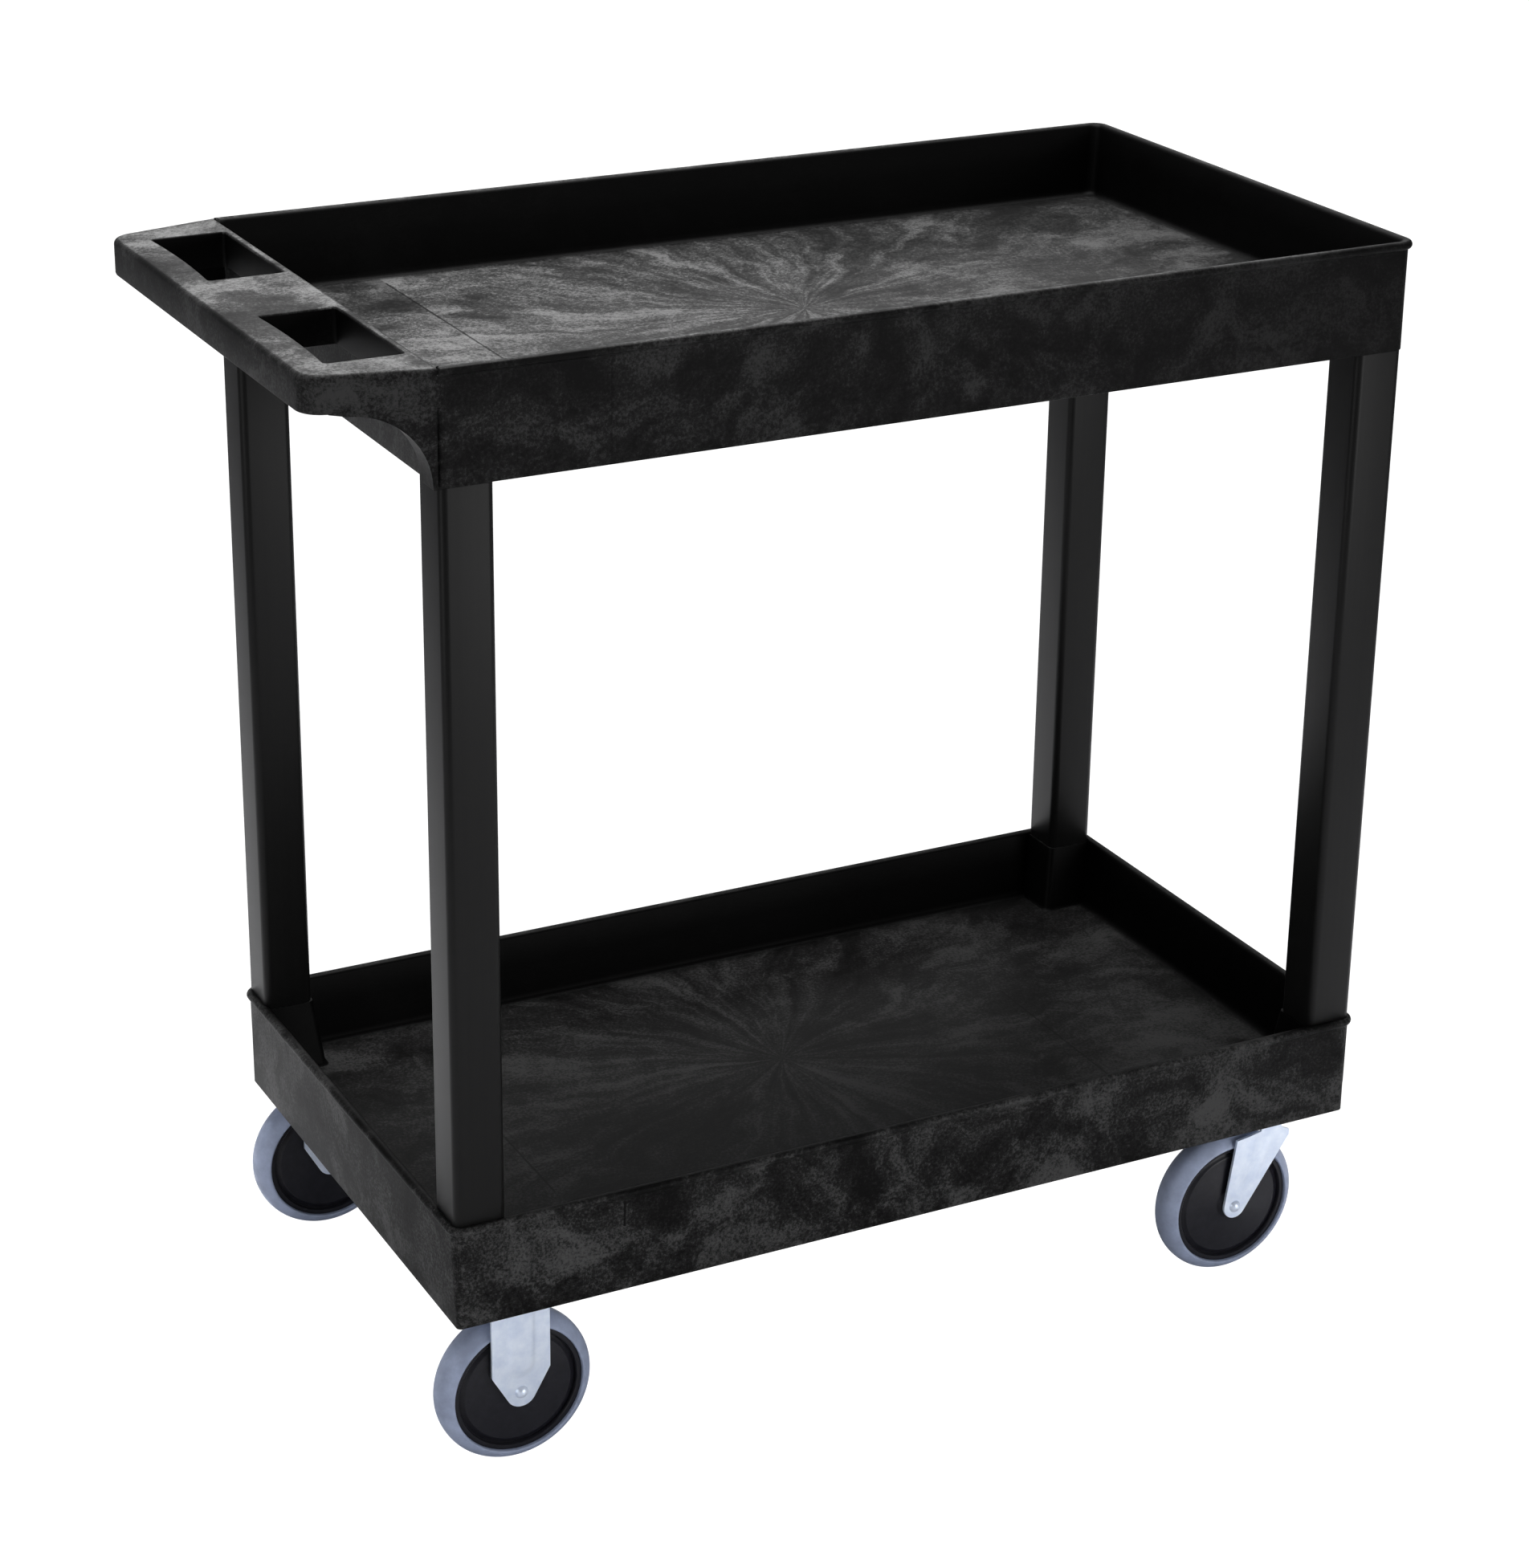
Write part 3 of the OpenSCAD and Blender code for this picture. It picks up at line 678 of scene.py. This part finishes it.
def add_hand_hold(bm):
    """The hand hold: a rounded top, deep skirts and two openings, hollow below."""
    top = UPPER_RIM - 0.3 * MM
    low = UPPER_RIM - HOLD_DEPTH
    edge = 4 * MM
    outer = [(4 * MM, top - 4.5 * MM), (4 * MM, low + 0.8 * MM), (3.4 * MM, low),
             (1.6 * MM, low), (0.5 * MM, low + 0.5 * MM), (0.0, low + 1.8 * MM)]
    outer += [(edge + x, top - edge + z) for x, z in arc((0, 0), edge, 180, 90, 6)]
    outer_rings = [add_loop(bm, hold_outline(inset), z) for inset, z in outer]
    loft(bm, outer_rings)
    lip = 1.6 * MM
    opening = [(lip + x, top - lip + z) for x, z in arc((0, 0), lip, 90, 180, 4)]
    opening += [(0.0, low + 1.2 * MM), (0.4 * MM, low + 0.2 * MM), (1.2 * MM, low),
                (2.6 * MM, low + 0.8 * MM), (2.6 * MM, top - 4.5 * MM)]
    tops, ceilings = [], []
    for side in (-1, 1):
        rings = [add_loop(bm, hand_opening(side, grow), z) for grow, z in opening]
        loft(bm, rings)
        tops.append(rings[0])
        ceilings.append(rings[-1])
    cap_with_holes(bm, outer_rings[-1], tops)
    cap_with_holes(bm, outer_rings[0], ceilings)


def add_cheek(bm, side):
    """Side of the hand hold, with the curved bracket that runs down the end wall."""
    inner_y = HALF_WID - 26 * MM
    proud = 0.12 * MM
    under = -HOLD_DEPTH
    curve_r = 56 * MM
    end_x = TUB_X0 + 3.6 * MM
    reach = (end_x - HOLD_CORNER[0] + HOLD_CORNER_R * math.sin(TAPER)) / math.cos(TAPER)
    centre = (-0.6 * MM - curve_r - 3 * MM, under - curve_r - 2 * MM)
    profile = [(0, -5.2 * MM), (-reach, -5.2 * MM), (-reach, under + 1.5 * MM),
               (-reach + 1.5 * MM, under)]
    profile += [p for p in arc(centre, curve_r, 92, 3, 20) if p[0] > -reach + 2 * MM]
    profile += [(-3.3 * MM, -WALL_HEIGHT + 0.6 * MM), (-2.7 * MM, -WALL_HEIGHT),
                (0, -WALL_HEIGHT)]
    along = Vector((math.cos(TAPER), math.sin(TAPER)))
    out = Vector((-math.sin(TAPER), math.cos(TAPER)))
    start_y = HOLD_SIDE + (end_x - HOLD_END) * math.tan(TAPER)
    start = Vector((end_x, start_y)) + out * proud
    outer, inner = [], []
    for u, z in profile:
        flat = start + along * u
        fall = 1.9 * MM * max(0.0, -z - 30 * MM) / (WALL_HEIGHT - 30 * MM)
        y = min(flat.y, HALF_WID - 0.8 * MM) - fall
        outer.append(bm.verts.new((flat.x, side * y, UPPER_RIM + z)))
        inner.append(bm.verts.new((flat.x, side * inner_y, UPPER_RIM + z)))
    join_loops(bm, outer, inner)
    front = bm.faces.new(outer)
    bm.faces.new(inner)
    bmesh.ops.bevel(bm, geom=list(front.edges), offset=0.6 * MM, segments=2, affect="EDGES")


def add_leg_sockets(bm):
    """Blocks under the upper deck that the legs stand against."""
    half = LEG_SIDE / 2
    for x in LEG_X:
        for y in LEG_Y:
            rings = []
            for height in (0.0, WALL_HEIGHT - TUB_DEPTH - DECK_THICK + 0.5 * MM):
                points = round_rect((x, y), half, half, (LEG_R, LEG_R), 4)
                rings.append(add_loop(bm, points, UPPER_FOOT + height + 0.05 * MM))
            loft(bm, rings)
            bm.faces.new(rings[0])
            bm.faces.new(rings[-1])


def add_corner_posts(bm):
    """Drafted posts in the lower tub's corners, up to the foot of each leg."""
    deck = LOWER_RIM - TUB_DEPTH
    top = LEG_LOW.z
    half = LEG_SIDE / 2
    for x in LEG_X:
        for y in LEG_Y:
            toward_x = math.copysign(1, TUB_MID - x)
            toward_y = math.copysign(1, -y)
            rings = []
            for height, grow, slip, r in (
                (deck - 1 * MM, 6.4, 5.4, 7), (deck + 0.6 * MM, 5.2, 4.2, 6),
                (deck + 3 * MM, 4.4, 3.5, 5), (top - 1.2 * MM, 1.1, 0.1, 5),
                (top - 0.2 * MM, 0.8, 0.0, 4.8), (top, 0.2, 0.0, 4.4),
            ):
                mid = (x + toward_x * slip * MM, y + toward_y * slip * MM)
                size = half + grow * MM
                points = round_rect(mid, size, size, (r * MM, r * MM), 4)
                limit_x = (TUB_X1 - TUB_X0) / 2 - 6 * MM
                limit_y = HALF_WID - 6 * MM
                points = [
                    (max(TUB_MID - limit_x, min(TUB_MID + limit_x, px)),
                     max(-limit_y, min(limit_y, py))) for px, py in points
                ]
                rings.append(add_loop(bm, points, height))
            loft(bm, rings)
            bm.faces.new(rings[0])
            bm.faces.new(rings[-1])


def make_leg(name, x, y):
    """Square tube with round corners and a lightly broken edge at each end."""
    half = LEG_SIDE / 2
    bm = bmesh.new()
    rings = []
    for z, inset in ((LEG_LOW.z, 0.6), (LEG_LOW.z, 0.15), (LEG_LOW.z + 0.4 * MM, 0.0),
                     (LEG_HIGH.z - 0.4 * MM, 0.0), (LEG_HIGH.z, 0.15), (LEG_HIGH.z, 0.6)):
        size = half - inset * MM
        points = round_rect((x, y), size, size, (LEG_R, LEG_R), 10)
        rings.append(add_loop(bm, points, z))
    loft(bm, rings)
    bm.faces.new(rings[0])
    bm.faces.new(rings[-1])
    finish_piece(bm, name + "_tube", LEG_PLASTIC, "root", [name])


SCREW_X = 38 * MM
SCREW_Y = 13 * MM


def add_screw_bosses(bm):
    """Round bosses under the lower deck, one over each caster screw."""
    top = LOWER_RIM - TUB_DEPTH - DECK_THICK + 0.3 * MM
    for side in ("front", "rear"):
        for kind in ("rigid", "swivel"):
            plate = "fork" if kind == "rigid" else "plate"
            low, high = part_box(f"{kind}_{side}_{plate}")
            for sx in (-SCREW_X, SCREW_X):
                for sy in (-SCREW_Y, SCREW_Y):
                    centre = ((low.x + high.x) / 2 + sx, (low.y + high.y) / 2 + sy)
                    rings = [
                        add_loop(bm, arc(centre, r, 0, 345, 23), z)
                        for r, z in ((6.4 * MM, top), (6 * MM, high.z + 0.1 * MM))
                    ]
                    loft(bm, rings)
                    bm.faces.new(rings[0])
                    bm.faces.new(rings[-1])


def make_upper_tub():
    bm = bmesh.new()
    add_tub(bm, UPPER_RIM, True)
    add_ribs(bm, UPPER_RIM)
    add_hand_hold(bm)
    add_cheek(bm, -1)
    add_cheek(bm, 1)
    add_leg_sockets(bm)
    finish_piece(bm, "upper_tub_moulding", UPPER_FOAM, "root", ["upper_tub"])


def make_lower_tub():
    bm = bmesh.new()
    add_tub(bm, LOWER_RIM, False)
    add_ribs(bm, LOWER_RIM)
    add_corner_posts(bm)
    add_screw_bosses(bm)
    finish_piece(bm, "lower_tub_moulding", LOWER_FOAM, "root", ["lower_tub"])


# ---------------------------------------------------------------- casters

WHEEL_SEGMENTS = 128


def add_lathe(bm, centre, profile):
    """Turns a closed (radius, y) profile about an axis along Y."""
    rings = []
    for i in range(WHEEL_SEGMENTS):
        angle = 2 * math.pi * i / WHEEL_SEGMENTS
        rings.append([
            bm.verts.new((
                centre.x + r * math.cos(angle), centre.y + y, centre.z + r * math.sin(angle),
            ))
            for r, y in profile
        ])
    for i in range(WHEEL_SEGMENTS):
        join_loops(bm, rings[i], rings[(i + 1) % WHEEL_SEGMENTS])


def make_wheel(caster, body):
    """Tyre with round shoulders, and core with its rim ring, groove, disc and hub."""
    low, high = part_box(f"{caster}_tyre")
    centre = (low + high) / 2
    radius = (high.x - low.x) / 2
    half = (high.y - low.y) / 2
    core_low, core_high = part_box(f"{caster}_core")
    core_r = (core_high.z - core_low.z) / 2
    face = half - 2.5 * MM

    steps = 16
    tread = []
    for i in range(-steps, steps + 1):
        t = i / steps
        tread.append((radius - 9 * MM * abs(t) ** 2.6, t * half))
    inner = [(core_r + 0.9 * MM, half), (core_r + 0.2 * MM, half - 0.5 * MM),
             (core_r, half - 1.4 * MM), (core_r, 1.4 * MM - half),
             (core_r + 0.2 * MM, 0.5 * MM - half), (core_r + 0.9 * MM, -half)]
    bm = bmesh.new()
    add_lathe(bm, centre, tread + inner)
    finish_piece(bm, f"{caster}_tread", TREAD, body, [f"{caster}_tyre"], 50)

    hub = half - 0.5 * MM
    sleeve_r = 6.05 * MM
    side = [
        (sleeve_r, 0.0), (sleeve_r, hub - 0.5 * MM), (sleeve_r + 0.5 * MM, hub),
        (11.2 * MM, hub), (12 * MM, hub - 0.5 * MM), (12.8 * MM, face - 0.2 * MM),
        (14 * MM, face - 0.8 * MM), (core_r - 9.8 * MM, face - 0.8 * MM),
        (core_r - 9.0 * MM, face - 1.1 * MM), (core_r - 8.2 * MM, face - 1.9 * MM),
        (core_r - 5.2 * MM, face - 3.9 * MM), (core_r - 4.5 * MM, face - 3.9 * MM),
        (core_r - 4.1 * MM, face - 0.5 * MM), (core_r - 3.7 * MM, face - 0.1 * MM),
        (core_r - 1.0 * MM, face), (core_r - 0.2 * MM, face - 0.3 * MM),
        (core_r - 0.02 * MM, face - 1.0 * MM),
    ]
    bm = bmesh.new()
    add_lathe(bm, centre, side + [(r, -y) for r, y in reversed(side[1:])])
    finish_piece(bm, f"{caster}_wheel_core", CORE_PLASTIC, body, [f"{caster}_core"],
                 40)


SHEET = 2.5 * MM
PLATE_THICK = 3 * MM
PLATE_HALF_WID = 20 * MM
SIDE_OUT = 18.5 * MM       # from the wheel's middle to the outer face of a side
FORK_TIP_R = 12.5 * MM
FORK_SHOULDER = 17 * MM    # above the axle, where a fork's side reaches full width
FORK_HALF = 24 * MM
YOKE_TIP_R = 10.5 * MM


def add_strip(bm, rows):
    """A bent sheet. Each row is (left, right, outer y, outer z, normal, press).

    left and right are the sheet's x limits, and press(x) lifts its outer face.
    """
    columns = 28
    outer, inner = [], []
    for left, right, y, z, normal, press in rows:
        outer_row, inner_row = [], []
        for i in range(columns + 1):
            t = i / columns
            x = left + (right - left) * t
            lift = press(x)
            outer_row.append(bm.verts.new((
                x, y + normal[0] * lift, z + normal[1] * lift,
            )))
            inner_row.append(bm.verts.new((
                x, y - normal[0] * (SHEET - lift), z - normal[1] * (SHEET - lift),
            )))
        outer.append(outer_row)
        inner.append(inner_row)
    for a, b in zip(outer, outer[1:]):
        for i in range(columns):
            bm.faces.new((a[i], a[i + 1], b[i + 1], b[i]))
    for a, b in zip(inner, inner[1:]):
        for i in range(columns):
            bm.faces.new((a[i], b[i], b[i + 1], a[i + 1]))
    for k in range(len(outer) - 1):
        for i in (0, columns):
            bm.faces.new((outer[k][i], outer[k + 1][i], inner[k + 1][i], inner[k][i]))
    for k in (0, len(outer) - 1):
        for i in range(columns):
            bm.faces.new((outer[k][i], outer[k][i + 1], inner[k][i + 1], inner[k][i]))


def smooth_step(t):
    t = max(0.0, min(1.0, t))
    return t * t * (3 - 2 * t)


def tip_half_width(z, radius):
    """Half the width of a round tip at a height z about its centre."""
    return math.sqrt(max(radius * radius - z * z, (0.12 * radius) ** 2))


def fork_leg_width(z):
    """Half width of a rigid fork's side at height z above the axle."""
    if z >= FORK_SHOULDER:
        return FORK_HALF
    tangent = -0.54 * FORK_TIP_R
    if z >= tangent:
        t = (z - tangent) / (FORK_SHOULDER - tangent)
        return 0.84 * FORK_TIP_R + t * (FORK_HALF - 0.84 * FORK_TIP_R)
    return tip_half_width(z, FORK_TIP_R)


def no_press(x):
    return 0.0


def fork_press(z, middle):
    """The long pressed rib of a fork's side, at height z above the axle."""
    base, half = 26 * MM, 10 * MM

    def press(x):
        below = max(0.0, base - z)
        gap = math.hypot(x - middle, below) - half
        return 1.5 * MM * smooth_step(0.5 - gap / (4 * MM))
    return press


def fork_levels(top):
    """Heights of a fork side's rows above the axle, from the tip up to a height."""
    tangent = -0.54 * FORK_TIP_R
    levels = [FORK_TIP_R * math.sin(math.radians(a)) for a in range(-84, -32, 6)]
    levels += [tangent + (FORK_SHOULDER - tangent) * i / 8 for i in range(9)]
    count = 22
    levels += [FORK_SHOULDER + (top - FORK_SHOULDER) * i / count
               for i in range(1, count + 1)]
    return levels


def add_base_plate(bm, low, high):
    """A caster's base plate with round corners and softened edges."""
    mid = ((low.x + high.x) / 2, (low.y + high.y) / 2)
    half_x = (high.x - low.x) / 2
    edge = 0.5 * MM
    low_z = high.z - PLATE_THICK
    rings = []
    for inset, z in ((edge, low_z), (0, low_z + edge), (0, high.z - edge), (edge, high.z)):
        points = round_rect(
            mid, half_x - inset, PLATE_HALF_WID - inset, (6 * MM, 6 * MM))
        rings.append(add_loop(bm, points, z))
    loft(bm, rings)
    bm.faces.new(rings[0])
    bm.faces.new(rings[-1])


def make_rigid_fork(caster, body):
    """Rigid fork: a base plate and a bent sheet with two pressed sides."""
    low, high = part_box(f"{caster}_fork")
    tyre_low, tyre_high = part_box(f"{caster}_tyre")
    axle = (tyre_low + tyre_high) / 2
    bend = 4 * MM
    crown = high.z - PLATE_THICK - 0.05 * MM
    rows = []
    for z in fork_levels(crown - bend - axle.z):
        half = fork_leg_width(z)
        rows.append((axle.x - half, axle.x + half, axle.y - SIDE_OUT, axle.z + z,
                     (-1, 0), fork_press(z, axle.x)))
    for angle in (15, 30, 45, 60, 75, 90):
        a = math.radians(angle)
        rows.append((axle.x - FORK_HALF, axle.x + FORK_HALF,
                     axle.y - SIDE_OUT + bend - bend * math.cos(a),
                     crown - bend + bend * math.sin(a),
                     (-math.cos(a), math.sin(a)), no_press))
    rows += [(left, right, 2 * axle.y - y, z, (-n[0], n[1]), press)
             for left, right, y, z, n, press in reversed(rows)]
    bm = bmesh.new()
    add_strip(bm, rows)
    add_base_plate(bm, low, high)
    finish_piece(bm, f"{caster}_pressed_fork", ZINC, body, [f"{caster}_fork"],
                 40)


def yoke_limits(z):
    """Left and right edges of a yoke's side at height z above the axle."""
    left_low, left_high = (-10.4 * MM, 1.5 * MM), (-1.5 * MM, 61 * MM)
    right_low, right_high = (8.9 * MM, -5.6 * MM), (49.5 * MM, 56 * MM)
    if z > left_low[1]:
        t = (z - left_low[1]) / (left_high[1] - left_low[1])
        left = left_low[0] + t * (left_high[0] - left_low[0])
    else:
        left = -tip_half_width(z, YOKE_TIP_R)
    if z > right_high[1]:
        right = 50 * MM
    elif z > right_low[1]:
        t = (z - right_low[1]) / (right_high[1] - right_low[1])
        right = right_low[0] + t * (right_high[0] - right_low[0])
    else:
        right = tip_half_width(z, YOKE_TIP_R)
    return left, right


def yoke_press(z, axle_x):
    """Two pressed ridges of a yoke's side, at height z above the axle."""
    t = (z - 22 * MM) / (34 * MM)
    fade = smooth_step((z - 18 * MM) / (8 * MM)) * smooth_step((60 * MM - z) / (6 * MM))

    def press(x):
        lift = 0.0
        for low_x, high_x in ((6 * MM, 13 * MM), (17 * MM, 31 * MM)):
            middle = low_x + t * (high_x - low_x)
            lift = max(lift, smooth_step(1.0 - abs(x - axle_x - middle) / (4.5 * MM)))
        return 0.9 * MM * lift * fade
    return press


def make_swivel_yoke(caster, body):
    """Swivel yoke: a crown disc with two slanted, pressed sides."""
    low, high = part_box(f"{caster}_yoke")
    plate_low, plate_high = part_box(f"{caster}_plate")
    tyre_low, tyre_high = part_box(f"{caster}_tyre")
    axle = (tyre_low + tyre_high) / 2
    pin_x = (plate_low.x + plate_high.x) / 2
    levels = [YOKE_TIP_R * math.sin(math.radians(a)) for a in range(-84, -30, 6)]
    levels += [-5.6 * MM + 66 * MM * i / 33 for i in range(34)]
    bm = bmesh.new()
    for side in (-1, 1):
        rows = []
        for z in levels:
            left, right = yoke_limits(z)
            rows.append((axle.x + left, axle.x + right, axle.y + side * SIDE_OUT,
                         axle.z + z, (side, 0), yoke_press(z, axle.x)))
        neck_low = axle.z + 61.5 * MM
        neck_high = high.z - 0.1 * MM
        for t in (0.0, 0.25, 0.5, 0.75, 1.0):
            z = neck_low + (neck_high - neck_low) * t
            shrink = smooth_step(t * 2.2)
            left = axle.x - 1.5 * MM + (pin_x - 10 * MM - axle.x + 1.5 * MM) * shrink
            right = axle.x + 50 * MM + (pin_x + 10 * MM - axle.x - 50 * MM) * shrink
            rows.append((left, right, axle.y + side * SIDE_OUT, z, (side, 0), no_press))
        add_strip(bm, rows)
    rings = []
    for r, z in ((5.05, 0.4), (5.4, 0.0), (18.9, 0.0), (19.9, 0.8), (19.9, 2.3),
                 (19.2, 3.0), (5.4, 3.0), (5.05, 2.6)):
        centre = (pin_x, axle.y)
        points = arc(centre, r * MM, 0, 354, 59)
        rings.append(add_loop(bm, points, high.z - 3 * MM + z * MM))
    loft(bm, rings)
    join_loops(bm, rings[-1], rings[0])
    finish_piece(bm, f"{caster}_pressed_yoke", ZINC, body, [f"{caster}_yoke"],
                 40)


def dress_cad_nodes():
    """Gives every CAD node that stays in sight its own material."""
    for name, node in NODES.items():
        last = name.split("_")[-1]
        if name.startswith("leg_"):
            material = LEG_PLASTIC
        elif last == "tub":
            material = UPPER_FOAM if name.startswith("upper") else LOWER_FOAM
        elif last == "tyre":
            material = TREAD
        elif last == "core":
            material = CORE_PLASTIC
        elif last == "balls":
            material = BALL_STEEL
        else:
            material = ZINC
        node.data.materials.clear()
        node.data.materials.append(material)


# ---------------------------------------------------------------- studio

PAPER_GLOW = 1.15     # how bright the paper and the world are to the camera
WORLD_LIGHT = 0.18    # how much the world lights the trolley


def make_floor():
    """A wide pale floor that curves up far behind the trolley."""
    bm = bmesh.new()
    section = [(-8.0, 0.0), (3.4, 0.0)]
    section += arc((3.4, 1.6), 1.6, -90, 0, 12)[1:] + [(5.0, 7.0)]
    rows = [[bm.verts.new((x, y, z)) for y, z in section] for x in (-9.0, 9.0)]
    for i in range(len(section) - 1):
        bm.faces.new((rows[0][i], rows[1][i], rows[1][i + 1], rows[0][i + 1]))
    mesh = bpy.data.meshes.new("studio_floor")
    bm.to_mesh(mesh)
    bm.free()
    floor = bpy.data.objects.new("studio_floor", mesh)
    bpy.context.scene.collection.objects.link(floor)
    mesh.shade_smooth()
    material, tree, shader = start_material("matt_white_paper")
    set_inputs(shader, Roughness=0.9, Specular_IOR_Level=0.1)
    place = add(tree, "ShaderNodeTexCoord").outputs["Object"]
    fibre = add(tree, "ShaderNodeTexNoise", {"Vector": place, "Scale": 40.0})
    colour = add(tree, "ShaderNodeValToRGB", {"Fac": fibre})
    set_ramp(colour, [(0.0, linear("#e4e4e6")), (1.0, linear("#e8e8ea"))])
    tree.links.new(colour.outputs["Color"], shader.inputs["Base Color"])
    # to the camera the paper is blown out to plain white; it lights as paper
    glow = add(tree, "ShaderNodeEmission", {"Strength": PAPER_GLOW})
    seen = add(tree, "ShaderNodeLightPath").outputs["Is Camera Ray"]
    mixed = add(tree, "ShaderNodeMixShader", {0: seen, 1: shader, 2: glow})
    # and it isn't there at all from below, so the underside can be looked at
    shown = add(tree, "ShaderNodeMixShader", {
        0: add(tree, "ShaderNodeNewGeometry").outputs["Backfacing"],
        1: mixed, 2: add(tree, "ShaderNodeBsdfTransparent"),
    })
    output = next(n for n in tree.nodes if n.type == "OUTPUT_MATERIAL")
    tree.links.new(shown.outputs["Shader"], output.inputs["Surface"])
    mesh.materials.append(material)


def add_soft_light(name, place, aim, size, watts, colour=(1, 1, 1)):
    data = bpy.data.lights.new(name, "AREA")
    data.shape = "RECTANGLE"
    data.size, data.size_y = size
    data.energy = watts
    data.color = colour
    light = bpy.data.objects.new(name, data)
    light.location = place
    light.rotation_euler = (Vector(aim) - Vector(place)).to_track_quat("-Z", "Y").to_euler()
    bpy.context.scene.collection.objects.link(light)


def make_studio():
    make_floor()
    world = bpy.data.worlds.new("studio")
    world.use_nodes = True
    tree = world.node_tree
    background = next(n for n in tree.nodes if n.type == "BACKGROUND")
    seen = add(tree, "ShaderNodeLightPath").outputs["Is Camera Ray"]
    strength = add(tree, "ShaderNodeMapRange", {
        "Value": seen, "To Min": WORLD_LIGHT, "To Max": PAPER_GLOW,
    })
    tree.links.new(strength.outputs["Result"], background.inputs["Strength"])
    background.inputs["Color"].default_value = (1.0, 1.0, 1.0, 1)
    bpy.context.scene.world = world
    bpy.context.scene.view_settings.view_transform = "Standard"
    middle = (TUB_MID, 0, 0.6)
    add_soft_light("overhead_softbox", (0.2, 0.5, 2.8), middle, (2.2, 1.6), 150)
    add_soft_light("far_softbox", (1.9, 3.0, 1.9), middle, (2.4, 1.2), 14)
    add_soft_light("left_softbox", (-3.2, -1.0, 1.1), middle, (1.2, 1.6), 17)
    add_soft_light("front_fill", (1.4, -3.4, 0.9), middle, (1.6, 1.4), 48)


# ---------------------------------------------------------------- build

dress_cad_nodes()
make_upper_tub()
make_lower_tub()
for end_name, leg_x in (("handle", LEG_X[0]), ("far", LEG_X[1])):
    for side_name, leg_y in (("front", LEG_Y[0]), ("rear", LEG_Y[1])):
        make_leg(f"leg_{end_name}_{side_name}", leg_x, leg_y)
for end_side in ("front", "rear"):
    make_wheel(f"rigid_{end_side}", f"rigid_{end_side}_wheel")
    make_wheel(f"swivel_{end_side}", f"swivel_{end_side}_wheel")
    make_rigid_fork(f"rigid_{end_side}", "root")
    make_swivel_yoke(f"swivel_{end_side}", f"swivel_{end_side}")
make_studio()
